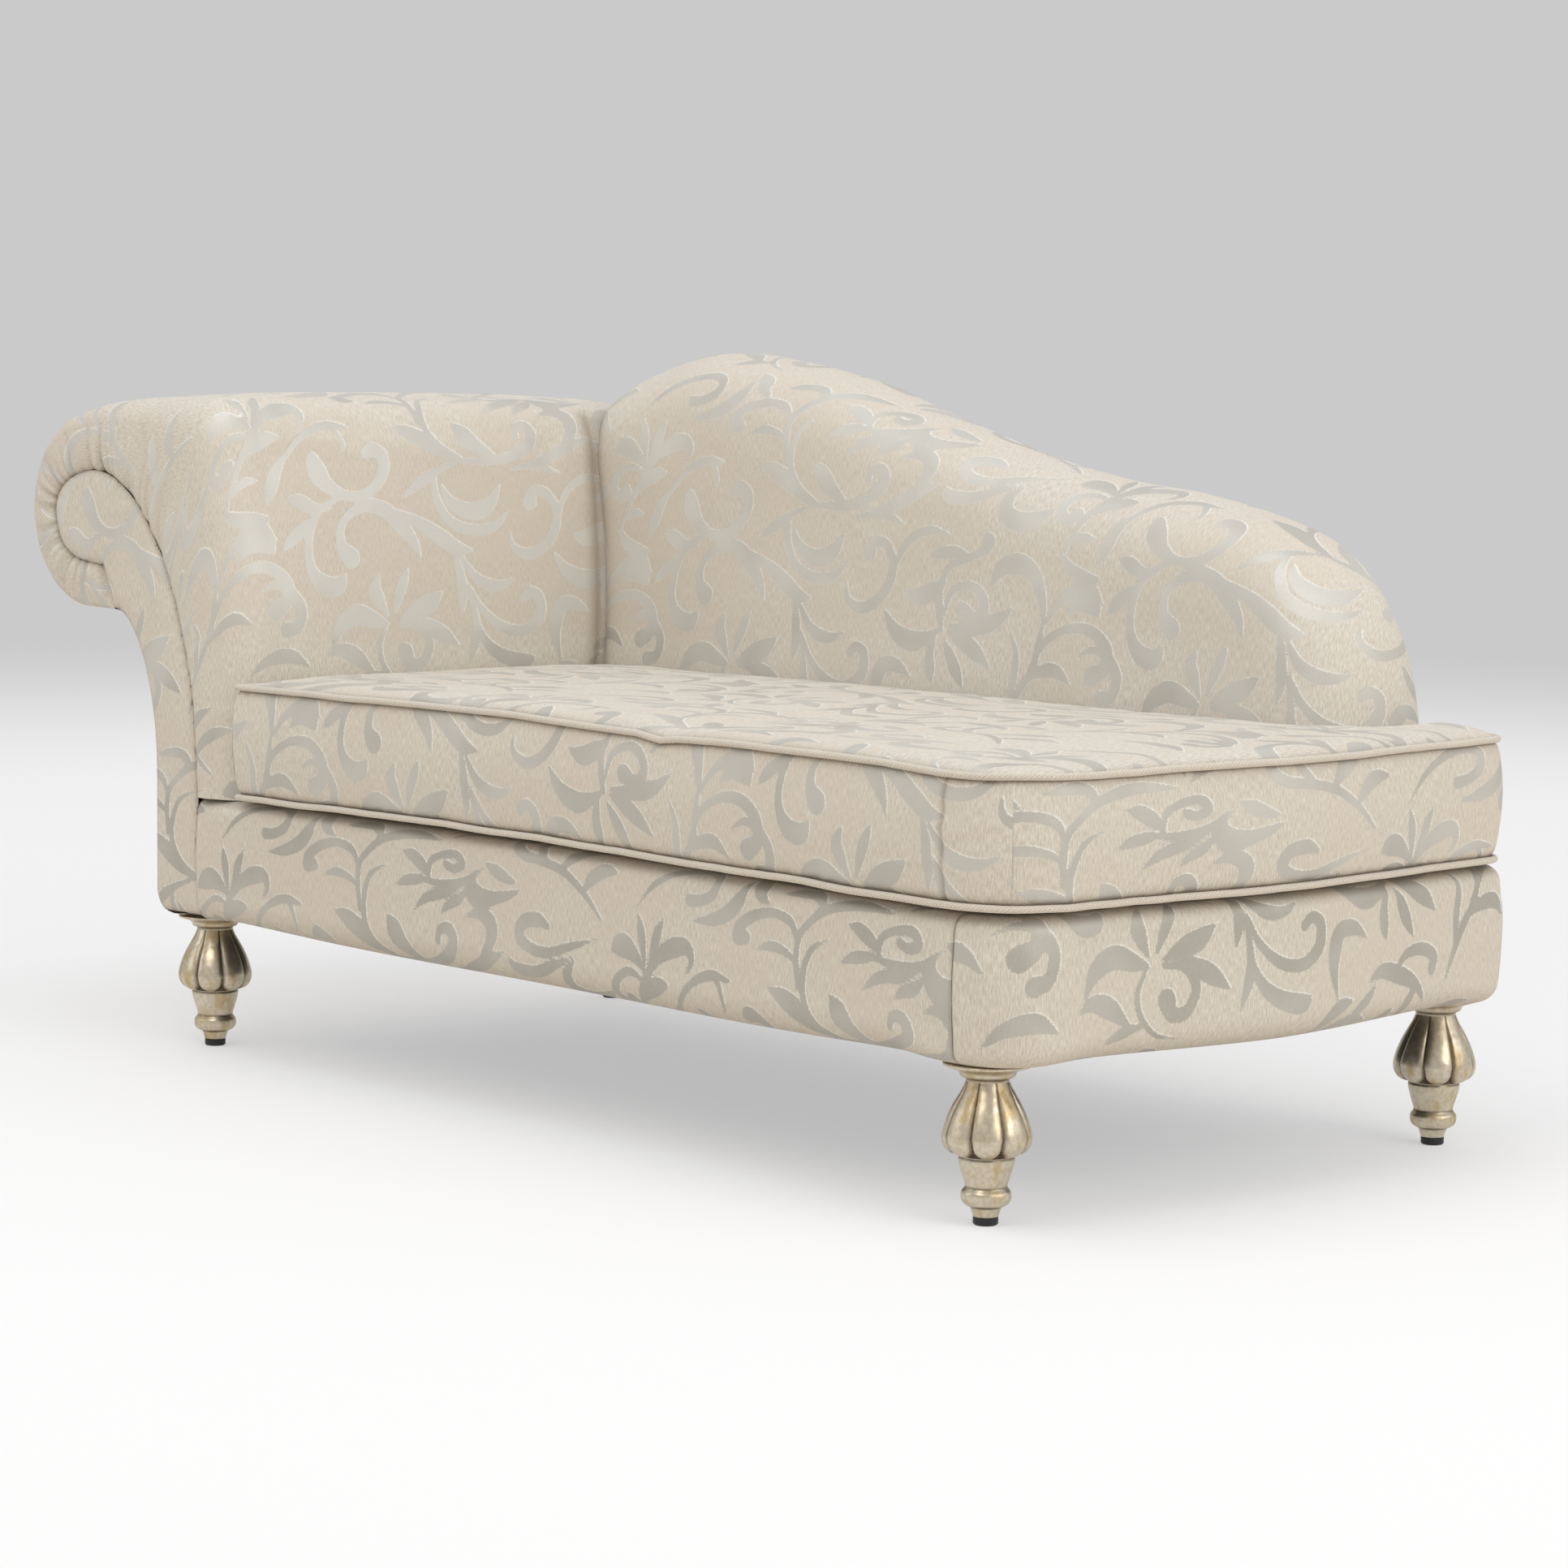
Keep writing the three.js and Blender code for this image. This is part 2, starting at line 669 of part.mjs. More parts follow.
function armPad() {
  const front = armFrontY - overrun;
  const rear = armRearY + overrun;
  const edge = armEdgeShares.map(([along, inwards]) => ({
    outline: inset(armShape, topRollRadius * inwards), y: armFrontY + topRollRadius * along,
  }));
  const body = stackedAlongY([...edge, ...armRun(armShape)]);
  const core = boardCore(frontBoardY - fitGap, rearBoardY + boardThickness + fitGap, fitGap);
  const left = rollCentreX - rollRadius - overrun;
  const below = block(left, armInnerX + overrun, front, rear, 0, softBottom);
  const skirtX = armFaceX + borderPadding + fitGap;
  const skirt = block(rollCentreX, skirtX, front, rear, 0, armSkirtTopHeight + fitGap);
  const facing = prismAlongY(inset(facingOutline(), -fitGap), front, armFrontY + facingSeat + fitGap);
  return cut(body, core, below, skirt, facing);
}

function armOuterPanel() {
  const front = armFrontY - overrun;
  const rear = armRearY + overrun;
  const whole = prismAlongY(armShape, armFrontY + facingSeat + fitGap, armPadRearY);
  const hollow = prismAlongY(inset(armShape, borderPadding), front, rear);
  const right = armFaceX + borderBottomFlange;
  const zone = block(rollCentreX, right, front, rear, baseBottomHeight, armSkirtTopHeight);
  const postZones = feet.filter((foot) => foot.x < 0).map((foot) => postShape(foot, fitGap, 0, railTopHeight));
  const railSeat = block(armFaceX + borderPadding, right + overrun, front, rear,
    railBottomHeight - fitGap, railTopHeight);
  return cut(shared(whole, zone), hollow, railSeat, ...postZones);
}

function armRearFacing() {
  const outline = dipped(inset(armShape, facingInset), armCrestDip);
  return prismAlongY(outline, armRearY - facingThickness, armRearY);
}

function armBoard(y0) {
  return boardCore(y0, y0 + boardThickness, 0);
}

function armRail(centreX, centreZ, width, height) {
  return block(centreX - width / 2, centreX + width / 2, frontBoardY + boardThickness + fitGap,
    rearBoardY - fitGap, centreZ - height / 2, centreZ + height / 2);
}

// The back's outline in x and z at a distance inside its edge, counterclockwise. It runs on below the
// seat, so that its foot can be cut flat. The inner lines keep their distance where the edge bends tightly.
const backEdgeMarks = backLineShares.map(([along, up]) => (
  new THREE.Vector2(lerp(backLeftX, backRightX, along), lerp(softBottom, backHeight, up))));
const backEdge = alongSpline(backEdgeMarks, backEdgeSteps);

function backLineHeight(x, distance) {
  if (distance <= 0) {
    const k = Math.max(backEdge.findIndex((point) => point.x >= x), 1);
    const share = (x - backEdge[k - 1].x) / (backEdge[k].x - backEdge[k - 1].x);
    return lerp(backEdge[k - 1].y, backEdge[k].y, share);
  }
  const near = backEdge.filter((point) => Math.abs(point.x - x) < distance);
  return Math.min(...near.map((point) => point.y - Math.sqrt(distance ** 2 - (x - point.x) ** 2)));
}

function backLine(distance) {
  const left = backLeftX + distance;
  const right = backRightX - Math.max(distance, fitGap);
  const low = softBottom - backCrestRound * 2;
  const crest = range(backLinePoints + 1).map((i) => {
    const t = i / backLinePoints;
    const x = lerp(left, right, lerp(t, Math.sin((Math.PI / 2) * t), backEndCrowdingShare));
    return new THREE.Vector2(x, backLineHeight(x, distance));
  });
  const end = range(3).map((i) => new THREE.Vector2(right, lerp(crest[backLinePoints].y, low, (i + 1) / 3)));
  return counterclockwise([new THREE.Vector2(left, low), ...crest, ...end]);
}

function raked(geometry) {
  const place = geometry.getAttribute('position');
  for (let i = 0; i < place.count; i += 1) {
    const up = unit((place.getZ(i) - cushionEdgeHeight) / (backHeight - cushionEdgeHeight));
    const front = unit((backPadRearY - place.getY(i)) / (backPadRearY - backFrontY));
    place.setY(i, place.getY(i) + backRake * up * front);
  }
  return geometry;
}

function backBody() {
  const front = range(rollSteps + 1).map((i) => {
    const angle = (Math.PI / 2) * (i / rollSteps);
    return {
      outline: backLine(backCrestRound * (1 - Math.sin(angle))),
      y: backFrontY + backFrontRound * (1 - Math.cos(angle)),
    };
  });
  const rear = range(rollSteps).map((i) => {
    const angle = (Math.PI / 2) * (i / (rollSteps - 1));
    return {
      outline: backLine(backRearInset * (1 - Math.cos(angle))),
      y: backPadRearY - backRearRound * (1 - Math.sin(angle)),
    };
  });
  return raked(stackedAlongY([...front, ...rear]));
}

// The room that the arm takes up, which the back is cut to fit
function armZone() {
  const outline = inset(armShape, -fitGap);
  const start = { outline, y: armFrontY - overrun };
  const end = { outline: dipped(outline, armCrestDip), y: armRearY + overrun };
  return stackedAlongY([start, ...armRun(outline), end]);
}

function backPad() {
  const hollow = prismAlongY(backLine(backPadding), backFrameY - fitGap, rearFaceY + overrun);
  const below = block(backLeftX - overrun, backRightX + overrun, backFrontY - overrun, rearFaceY + overrun,
    0, softBottom);
  return cut(backBody(), hollow, below, armZone());
}

function backRearCover() {
  const plate = prismAlongY(backLine(backRearInset), backPadRearY + fitGap, rearFaceY);
  const right = backRightX + overrun;
  const below = block(backLeftX - overrun, right, backFrontY, rearFaceY + overrun, 0, softBottom);
  return cut(plate, below, armZone());
}

// The stiles stand beside the arm, half way along, and in the last space between straps under the back
function stileSpots() {
  const first = armInnerX + stileWidth / 2 + 2 * fitGap;
  const spaces = range(crossWebbingCount - 1).map((i) => (crossStrapX(i) + crossStrapX(i + 1)) / 2);
  const limit = backRightX - backPadding - stileWidth;
  const free = spaces.filter((x) => x < limit);
  return [first, spaces[Math.floor(free.length / 2)], free[free.length - 1]];
}

function stileClearance(x) {
  return block(x - stileWidth / 2 - fitGap, x + stileWidth / 2 + fitGap, backFrameY - fitGap,
    backFrameY + backFrameThickness + 2 * fitGap, 0, backHeight);
}

function backTopRail() {
  const upper = prismAlongY(backLine(backPadding + fitGap), backFrameY, backFrameY + backFrameThickness);
  const lowered = prismAlongY(backLine(backPadding + topRailHeight), backFrameY - overrun, rearFaceY);
  const spots = stileSpots();
  const side = block(backLeftX - overrun, spots[0] - stileWidth / 2, 0, rearFaceY + overrun, 0, backHeight);
  const foot = block(backLeftX - overrun, endFaceX, 0, rearFaceY + overrun, 0,
    softBottom + bottomRailLift + bottomRailHeight + stileWidth);
  return cut(upper, lowered, side, foot);
}

function backStile(x) {
  const whole = block(x - stileWidth / 2, x + stileWidth / 2, backFrameY, backFrameY + backFrameThickness,
    railBottomHeight, backHeight);
  const underRail = prismAlongY(backLine(backPadding + fitGap + topRailHeight), 0, rearFaceY + overrun);
  const lower = block(x - stileWidth / 2, x + stileWidth / 2, backFrameY, backFrameY + backFrameThickness,
    railBottomHeight, softBottom + bottomRailHeight);
  return fromManifold(toManifold(shared(whole, underRail)).add(toManifold(lower)));
}

function backBottomRail(x0, x1) {
  const z0 = softBottom + bottomRailLift;
  return block(x0 + stileWidth / 2 + fitGap, x1 - stileWidth / 2 - fitGap, backFrameY,
    backFrameY + backFrameThickness, z0, z0 + bottomRailHeight);
}

// Points spaced evenly along a line
function evenly(points, count) {
  const lengths = [0];
  points.slice(1).forEach((point, i) => lengths.push(lengths[i] + point.distanceTo(points[i])));
  const total = lengths[lengths.length - 1];
  return range(count + 1).map((i) => {
    const goal = (total * i) / count;
    const k = Math.min(Math.max(lengths.findIndex((length) => length >= goal), 1), points.length - 1);
    const share = (goal - lengths[k - 1]) / (lengths[k] - lengths[k - 1]);
    return points[k - 1].clone().lerp(points[k], share);
  });
}

// The cushion's outline where it goes round the back's free end, from its right side to the arm
function cushionRearLine(leftX, rearCorner) {
  const wrapX = backRightX + cushionFit;
  const centreX = backRightX - backCrestRound;
  const centreY = backFrontY + backFrontRound;
  const turn = arc(
    wrapX + wrapCornerRadius, cushionRearLength - wrapCornerRadius, wrapCornerRadius, 1 / 4, 1 / 2, 2);
  const around = arc(0, 0, 1, 0, -1 / 4, cornerSteps).map((point) => new THREE.Vector2(
    centreX + point.x * (backCrestRound + cushionFit), centreY + point.y * (backFrontRound + cushionFit)));
  return {
    behind: [...rearCorner, ...turn, new THREE.Vector2(wrapX, centreY)],
    around,
    along: [around[around.length - 1], new THREE.Vector2(leftX, backFrontY - cushionFit)],
  };
}

function heightOn(line, x) {
  const k = line.findIndex((point) => point.x >= x);
  return lerp(line[k - 1].y, line[k].y, (x - line[k - 1].x) / (line[k].x - line[k - 1].x));
}

function partOf(line, fromX, toX, count) {
  const inside = line.filter((point) => point.x > fromX && point.x < toX);
  const ends = [fromX, toX].map((x) => new THREE.Vector2(x, heightOn(line, x)));
  return evenly([ends[0], ...inside, ends[1]], count);
}

// The cushion's plan: four sides of matched points, so that its faces are one even net
function cushionSides() {
  const grown = basePlan(-cushionOverhang);
  const leftX = armInnerX + cushionFit;
  const rearCornerY = cushionRearLength - cushionRearRadius;
  const frontHalf = grown.filter((point) => point.y < frontCornerRadius)
    .filter((point) => point.x < endFaceX && point.x > leftX);
  const cornerIndex = frontHalf.findIndex((point) => point.x > endFaceX - frontCornerRadius / 3);
  const front = [new THREE.Vector2(leftX, frontHalf[0].y), ...frontHalf.slice(0, cornerIndex + 1)];
  const cornerX = front[front.length - 1].x;
  const rearCorner = arc(
    endFaceX + cushionOverhang - cushionRearRadius, rearCornerY, cushionRearRadius, 0, 1 / 4, cornerSteps);
  const middle = Math.floor(cornerSteps / 2);
  const right = [
    front[front.length - 1],
    ...frontHalf.filter((point) => point.x > cornerX),
    ...grown.filter((point) => point.x > endFaceX && point.y < rearCornerY),
    ...rearCorner.slice(0, middle + 1),
  ];
  const { behind, around, along } = cushionRearLine(leftX, rearCorner.slice(middle));
  const splitRight = backRightX + cushionFit;
  const splitLeft = backRightX - backCrestRound - wrapCornerRadius * 3;
  const frontSeat = partOf(front, leftX + nearestPoints, splitLeft, seatCells);
  const frontWrap = partOf(front, splitLeft, splitRight, wrapCells);
  const frontEnd = partOf(front, splitRight, cornerX - nearestPoints, endCells);
  const rearSeat = evenly(along.slice().reverse(), seatCells);
  const rearWrap = evenly(around.slice().reverse(), wrapCells);
  const rearEnd = evenly(behind.slice().reverse(), endCells);
  const frontLine = [...frontSeat, ...frontWrap.slice(1), ...frontEnd.slice(1)];
  return {
    front: frontLine,
    rear: [...rearSeat, ...rearWrap.slice(1), ...rearEnd.slice(1)],
    left: evenly([frontSeat[0], rearSeat[0]], depthCells),
    right: evenly([frontLine[frontLine.length - 1], ...right.slice(1)], depthCells),
  };
}

function cushionLoop(sides) {
  return [...sides.front, ...sides.right.slice(1), ...sides.rear.slice(0, -1).reverse(),
    ...sides.left.slice(1, -1).reverse()];
}

// Fills a closed loop of edge points with an even net, raised to a crown in the middle
function netInside(loop, columns, rows, heightAt) {
  const front = loop.slice(0, columns + 1);
  const right = loop.slice(columns, columns + rows + 1);
  const rear = loop.slice(columns + rows, 2 * columns + rows + 1).reverse();
  const left = [loop[0], ...loop.slice(2 * columns + rows + 1).reverse(), rear[0]];
  return range(rows + 1).map((j) => range(columns + 1).map((i) => {
    const u = i / columns;
    const v = j / rows;
    const ruled = front[i].clone().lerp(rear[i], v);
    const sideways = left[j].clone().lerp(right[j], u);
    const corners = front[0].clone().lerp(front[columns], u).lerp(rear[0].clone().lerp(rear[columns], u), v);
    const place = ruled.add(sideways).sub(corners);
    return new THREE.Vector3(place.x, place.y, heightAt(u, v));
  }));
}

// The heights of the cushion's rings and how far each stands out from its seam line
function cushionRings() {
  const boxing = cushionEdgeHeight - cushionLowerEdgeHeight;
  const lip = pipingRadius * seamLipShare;
  return [
    { out: -cushionUndersideInset, z: softBottom },
    { out: -seamRecess, z: cushionLowerEdgeHeight - lip },
    { out: -seamRecess, z: cushionLowerEdgeHeight },
    ...boxingShares.map(([up, bulge]) => ({
      out: boxingBulge * bulge, z: cushionLowerEdgeHeight + boxing * up,
    })),
    { out: -seamRecess, z: cushionEdgeHeight },
    { out: -seamRecess, z: cushionEdgeHeight + lip },
    { out: -cushionTopShoulder, z: cushionEdgeHeight + cushionCrown / 2 },
  ];
}

function addQuad(net, a, b, c, d) {
  const start = net.points.length / 3;
  [a, b, c, d].forEach((point) => net.points.push(point.x, point.y, point.z));
  net.triangles.push(start, start + 1, start + 2, start, start + 2, start + 3);
}

function cushionSolid() {
  const sides = cushionSides();
  const loop = cushionLoop(sides);
  const columns = sides.front.length - 1;
  const rings = cushionRings();
  const lofted = rings.map(({ out, z }) => (
    inset(loop, -out).map((point) => new THREE.Vector3(point.x, point.y, z))));
  const dome = (u, v) => Math.sqrt(Math.sin(Math.PI * u) * Math.sin(Math.PI * v));
  const crownAt = (u, v) => cushionEdgeHeight + lerp(cushionCrown / 2, cushionCrown, dome(u, v));
  const bottom = netInside(inset(loop, cushionUndersideInset), columns, depthCells, () => softBottom);
  const top = netInside(inset(loop, cushionTopShoulder), columns, depthCells, crownAt);
  const net = { points: [], triangles: [] };
  for (let ring = 0; ring + 1 < lofted.length; ring += 1) {
    const [low, high] = [lofted[ring], lofted[ring + 1]];
    low.forEach((point, i) => {
      const next = (i + 1) % loop.length;
      addQuad(net, point, low[next], high[next], high[i]);
    });
  }
  for (let j = 0; j < depthCells; j += 1) {
    for (let i = 0; i < columns; i += 1) {
      addQuad(net, top[j][i], top[j][i + 1], top[j + 1][i + 1], top[j + 1][i]);
      addQuad(net, bottom[j][i], bottom[j + 1][i], bottom[j + 1][i + 1], bottom[j][i + 1]);
    }
  }
  const geometry = new THREE.BufferGeometry();
  geometry.setAttribute('position', new THREE.Float32BufferAttribute(net.points, 3));
  geometry.setIndex(net.triangles);
  return sealed(geometry);
}

// A welt round the cushion at one height
function piping(z) {
  const loop = cushionLoop(cushionSides());
  const outer = inset(loop, -pipingRadius);
  const frames = loop.map((point, i) => {
    const out = outer[i].clone().sub(point).normalize();
    return range(pipingSides).map((k) => {
      const angle = (2 * Math.PI * (k + 1 / 2)) / pipingSides;
      return new THREE.Vector3(point.x + out.x * pipingRadius * Math.cos(angle),
        point.y + out.y * pipingRadius * Math.cos(angle), z + pipingRadius * Math.sin(angle));
    });
  });
  return swept(frames, true);
}

// The foot's turned profile: heights, radii, and how deep the grooves between its lobes are cut there
function footProfile() {
  const bulb = footNeckHeight - lobeBottomHeight;
  const [depthStart, depthRise] = lobeDepthShares;
  return [
    { z: glideHeight + fitGap, r: footTipRadius, carve: 0 },
    ...footRingShares.map(([up, out]) => ({ z: footRingHeight * up, r: footRingRadius * out, carve: 0 })),
    { z: lobeBottomHeight - sharpRadius, r: footTaperRadius, carve: 0 },
    ...lobeSwellShares.map(([up, out]) => ({
      z: lobeBottomHeight + bulb * up,
      r: Math.max(lobeRadius * out, footNeckRadius),
      carve: lobeGroove * Math.sin(Math.PI * unit(depthStart + up * depthRise)),
    })),
    ...footFlangeShares.map(([up, out]) => ({
      z: lerp(footNeckHeight, footHeight, up), r: footTopRadius * out, carve: 0,
    })),
  ];
}

// One carved foot: a turned body whose bulb is cut into rounded lobes, with a blind bore for its bolt
function carvedFoot(foot) {
  const profile = footProfile();
  const sides = lobeCount * lobeSides;
  const points = profile.flatMap(({ z, r, carve }) => range(sides).flatMap((k) => {
    const angle = (2 * Math.PI * k) / sides;
    const groove = Math.abs(Math.cos((lobeCount * angle) / 2)) ** 4;
    const radius = r - carve * groove;
    return [radius * Math.cos(angle), radius * Math.sin(angle), z];
  }));
  points.push(0, 0, profile[0].z, 0, 0, footHeight);
  const triangles = [];
  const low = profile.length * sides;
  const top = (profile.length - 1) * sides;
  for (let k = 0; k < sides; k += 1) {
    const next = (k + 1) % sides;
    for (let ring = 0; ring + 1 < profile.length; ring += 1) {
      const a = ring * sides + k;
      const b = ring * sides + next;
      triangles.push(a, b, b + sides, a, b + sides, a + sides);
    }
    triangles.push(low, next, k, low + 1, top + k, top + next);
  }
  const geometry = new THREE.BufferGeometry();
  geometry.setAttribute('position', new THREE.Float32BufferAttribute(points, 3));
  geometry.setIndex(triangles);
  const placed = sealed(geometry).translate(foot.x, foot.y, 0);
  return cut(placed, boltBore(foot, footHeight, boltInFoot));
}

function lathed(profile, sides, foot) {
  const marks = profile.map(([r, z]) => new THREE.Vector2(r, z));
  return sealed(new THREE.LatheGeometry(marks, sides).rotateX(Math.PI / 2)).translate(foot.x, foot.y, 0);
}

function glide(foot) {
  const edge = glideRadius - glideChamfer;
  const side = [[glideRadius, glideChamfer], [glideRadius, glideHeight]];
  return lathed([[0, 0], [edge, 0], ...side, [0, glideHeight]], 2 * roundSides, foot);
}

function footPlate(foot) {
  const half = plateSize / 2;
  const z0 = footHeight + fitGap;
  const plate = block(foot.x - half, foot.x + half, foot.y - half, foot.y + half, z0, z0 + plateThickness);
  const inside = raised(basePlan(borderPadding + 2 * fitGap), 0, footHeight + overrun);
  return shared(cut(plate, boltBore(foot, z0, overrun)), inside);
}

function footBolt(foot) {
  const z0 = footHeight - boltInFoot + fitGap;
  const z1 = footHeight + plateThickness + boltInPost - fitGap;
  const tip = [[boltPointRadius, z0], [boltRadius, z0 + boltRadius]];
  const head = [[boltRadius, z1 - boltChamfer], [boltRadius - boltChamfer, z1]];
  return lathed([[0, z0], ...tip, ...head, [0, z1]], roundSides, foot);
}

// The assembly
const recamier = new THREE.Group();

function add(name, geometry, material) {
  const mesh = new THREE.Mesh(geometry, material);
  mesh.name = name;
  recamier.add(mesh);
}

function addBase() {
  const postLeftX = -frontFeetSpan + postReach + fitGap;
  const postRightX = -postReach - fitGap;
  const front = -2 * overrun;
  const rear = rearFaceY + overrun;
  const halfDepth = footDepthSpan / 2;
  const postRearY = footDepthSpan - postReach - fitGap;
  const postZones = feet.map((foot) => postShape(foot, fitGap, 0, railTopHeight));
  const armSide = block(armFaceX - overrun, armInnerX + fitGap, front, rear, 0, backHeight);
  const rearPanel = borderPanel(rearSeamIndex, rearSeamIndex + 1, 2 * fitGap);
  add('base_front_panel', cut(borderPanel(1, frontSeamIndex, 0), ...postZones), fabric());
  add('base_end_panel', cut(borderPanel(frontSeamIndex, rearSeamIndex, 2 * fitGap), ...postZones), fabric());
  add('base_rear_panel', cut(rearPanel, armSide, ...postZones), fabric());
  add('front_rail', railBetween(postLeftX, postRightX, front, halfDepth), beech());
  add('rear_rail', railBetween(postLeftX, postRightX, halfDepth, rear), beech());
  add('end_rail', railBetween(0, endFaceX + overrun, postReach + fitGap, postRearY), beech());
  add('arm_rail', railBetween(armFaceX - overrun, -frontFeetSpan + postReach,
    armFootSetback + postReach + fitGap, postRearY), beech());
  feet.forEach((foot) => add(`corner_post_${foot.name}`, cornerPost(foot), beech()));
  const braceX = crossStrapX(crossWebbingCount / 2 - 1);
  const rearInside = rearFaceY - borderPadding - railThickness - 2 * fitGap;
  const frontInside = frontAtY(braceX - railThickness / 2) + borderPadding + railThickness + 4 * fitGap;
  add('seat_brace', block(braceX - railThickness / 2, braceX + railThickness / 2, frontInside, rearInside,
    railBottomHeight, railBottomHeight + braceHeight), beech());
  const webbing = straps();
  webbing.cross.forEach((strap, i) => add(`webbing_cross_${i + 1}`, strap, jute()));
  webbing.along.forEach((strap, i) => add(`webbing_long_${i + 1}`, strap, jute()));
  add('deck_pad', deckPad(), fabric());
  add('dust_cover', dustCover(), blackCloth());
}

function addArm() {
  add('arm_pad', armPad(), fabric());
  add('arm_outer_panel', armOuterPanel(), fabric());
  add('arm_front_facing', armFrontFacing(), fabric());
  add('arm_rear_facing', armRearFacing(), fabric());
  add('arm_board_front', armBoard(frontBoardY), beech());
  add('arm_board_rear', armBoard(rearBoardY), beech());
  const innerX = boardInnerX - innerRailThickness / 2;
  add('arm_inner_rail', armRail(innerX, softBottom + bottomRailLift + innerRailHeight / 2,
    innerRailThickness, innerRailHeight), beech());
  add('arm_roll_rail', armRail(rollCentreX, rollCentreHeight, rollRailSize, rollRailSize), beech());
}

function addBack() {
  add('back_pad', backPad(), fabric());
  add('back_rear_panel', backRearCover(), fabric());
  add('back_top_rail', backTopRail(), beech());
  const spots = stileSpots();
  ['left', 'middle', 'right'].forEach((side, i) => add(`back_${side}_stile`, backStile(spots[i]), beech()));
  add('back_bottom_rail_left', backBottomRail(spots[0], spots[1]), beech());
  add('back_bottom_rail_right', backBottomRail(spots[1], spots[2]), beech());
}

function addCushion() {
  add('seat_cushion', cushionSolid(), fabric());
  add('cushion_piping_top', piping(cushionEdgeHeight), pipingCloth());
  add('cushion_piping_bottom', piping(cushionLowerEdgeHeight), pipingCloth());
}

function addFeet() {
  feet.forEach((foot) => {
    add(`foot_${foot.name}`, carvedFoot(foot), silverLeaf());
    add(`glide_${foot.name}`, glide(foot), blackNylon());
    add(`foot_plate_${foot.name}`, footPlate(foot), zincSteel());
    add(`foot_bolt_${foot.name}`, footBolt(foot), zincSteel());
  });
}

addBase();
addArm();
addBack();
addCushion();
addFeet();

// The row's origin is the middle of the whole thing on the floor
const extent = new THREE.Box3().setFromObject(recamier);
recamier.position.set(-(extent.min.x + extent.max.x) / 2, -(extent.min.y + extent.max.y) / 2, 0);

export default recamier;
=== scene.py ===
import itertools
import json
import math

import bpy
import numpy as np
from mathutils import Matrix, Vector

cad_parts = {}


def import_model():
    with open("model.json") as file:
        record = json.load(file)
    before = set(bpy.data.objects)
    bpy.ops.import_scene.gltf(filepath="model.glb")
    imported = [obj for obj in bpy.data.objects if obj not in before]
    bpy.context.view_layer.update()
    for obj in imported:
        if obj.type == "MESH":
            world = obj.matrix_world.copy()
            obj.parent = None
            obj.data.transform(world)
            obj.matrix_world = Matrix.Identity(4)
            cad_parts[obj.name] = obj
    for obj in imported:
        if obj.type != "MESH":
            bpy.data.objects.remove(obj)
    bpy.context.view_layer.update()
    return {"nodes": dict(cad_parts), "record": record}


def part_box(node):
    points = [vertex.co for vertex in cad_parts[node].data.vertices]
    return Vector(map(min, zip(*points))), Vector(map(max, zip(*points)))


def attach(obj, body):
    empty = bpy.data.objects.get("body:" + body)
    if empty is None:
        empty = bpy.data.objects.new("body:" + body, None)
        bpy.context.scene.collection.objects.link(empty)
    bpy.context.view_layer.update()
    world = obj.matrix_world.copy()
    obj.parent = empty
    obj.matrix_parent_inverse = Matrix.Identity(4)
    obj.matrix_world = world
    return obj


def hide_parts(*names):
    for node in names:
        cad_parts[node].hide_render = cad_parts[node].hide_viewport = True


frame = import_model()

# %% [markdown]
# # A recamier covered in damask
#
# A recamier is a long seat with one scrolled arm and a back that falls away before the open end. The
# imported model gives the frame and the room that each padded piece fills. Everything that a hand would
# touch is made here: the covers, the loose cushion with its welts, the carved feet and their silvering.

MM = 0.001
glide_low, glide_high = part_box("glide_front_right")
HOME = np.array([(glide_low.x + glide_high.x) / 2, (glide_low.y + glide_high.y) / 2, 0.0])
print("the front right foot stands at", [round(float(v), 4) for v in HOME])

# %% [markdown]
# ## Sizes
#
# The covers are drawn in millimetres from the front right foot's axis, the way an upholsterer would
# measure from a corner of the frame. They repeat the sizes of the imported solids, so that each cover
# fills the room that its solid keeps.

# %% Sizes of the frame and its covers
FRONT_SEAM_X, ARM_FACE_X, ARM_INNER_X = -1324.0, -1412.0, -1240.0
BASE_BOTTOM, BASE_TOP = 162.0, 308.0
ARM_FRONT_Y, ARM_REAR_Y = -1.3, 730.4
REAR_FACE_Y, END_FACE_X = 725.0, 75.0
ROLL_X, ROLL_Z, ROLL_RADIUS = -1564.0, 643.0, 120.0
ARM_CREST, ARM_STRAIGHT, HIP_Z = 783.0, 333.0, 444.0
BACK_LEFT_X, BACK_RIGHT_X, BACK_FRONT_Y, BACK_TOP = -1385.0, -23.0, 550.0, 841.0
SEAM_LOW, SEAM_HIGH = 318.0, 444.0
GRAIN = 3.5    # the spacing of a cover's points, fine enough to carry the figure's edges


def mix(a, b, t):
    return a + (b - a) * t


def bezier(a, b, c, d, count):
    t = np.linspace(0, 1, count)[:, None]
    a, b, c, d = (np.array(p, float) for p in (a, b, c, d))
    return a * (1 - t) ** 3 + 3 * b * t * (1 - t) ** 2 + 3 * c * t * t * (1 - t) + d * t ** 3


def along(line):
    """Length from the start of a line to each of its points."""
    return np.concatenate([[0], np.cumsum(np.linalg.norm(np.diff(line, axis=0), axis=1))])


def evenly(line, count):
    """A line's points, spaced alike."""
    length = along(line)
    marks = np.linspace(0, length[-1], count)
    return np.stack([np.interp(marks, length, line[:, k]) for k in range(line.shape[1])], axis=1)


def curve_through(points, count):
    """A smooth line through points, spaced alike."""
    points = np.array(points, float)
    return evenly(finer(points, 0, 12 * len(points)), count)


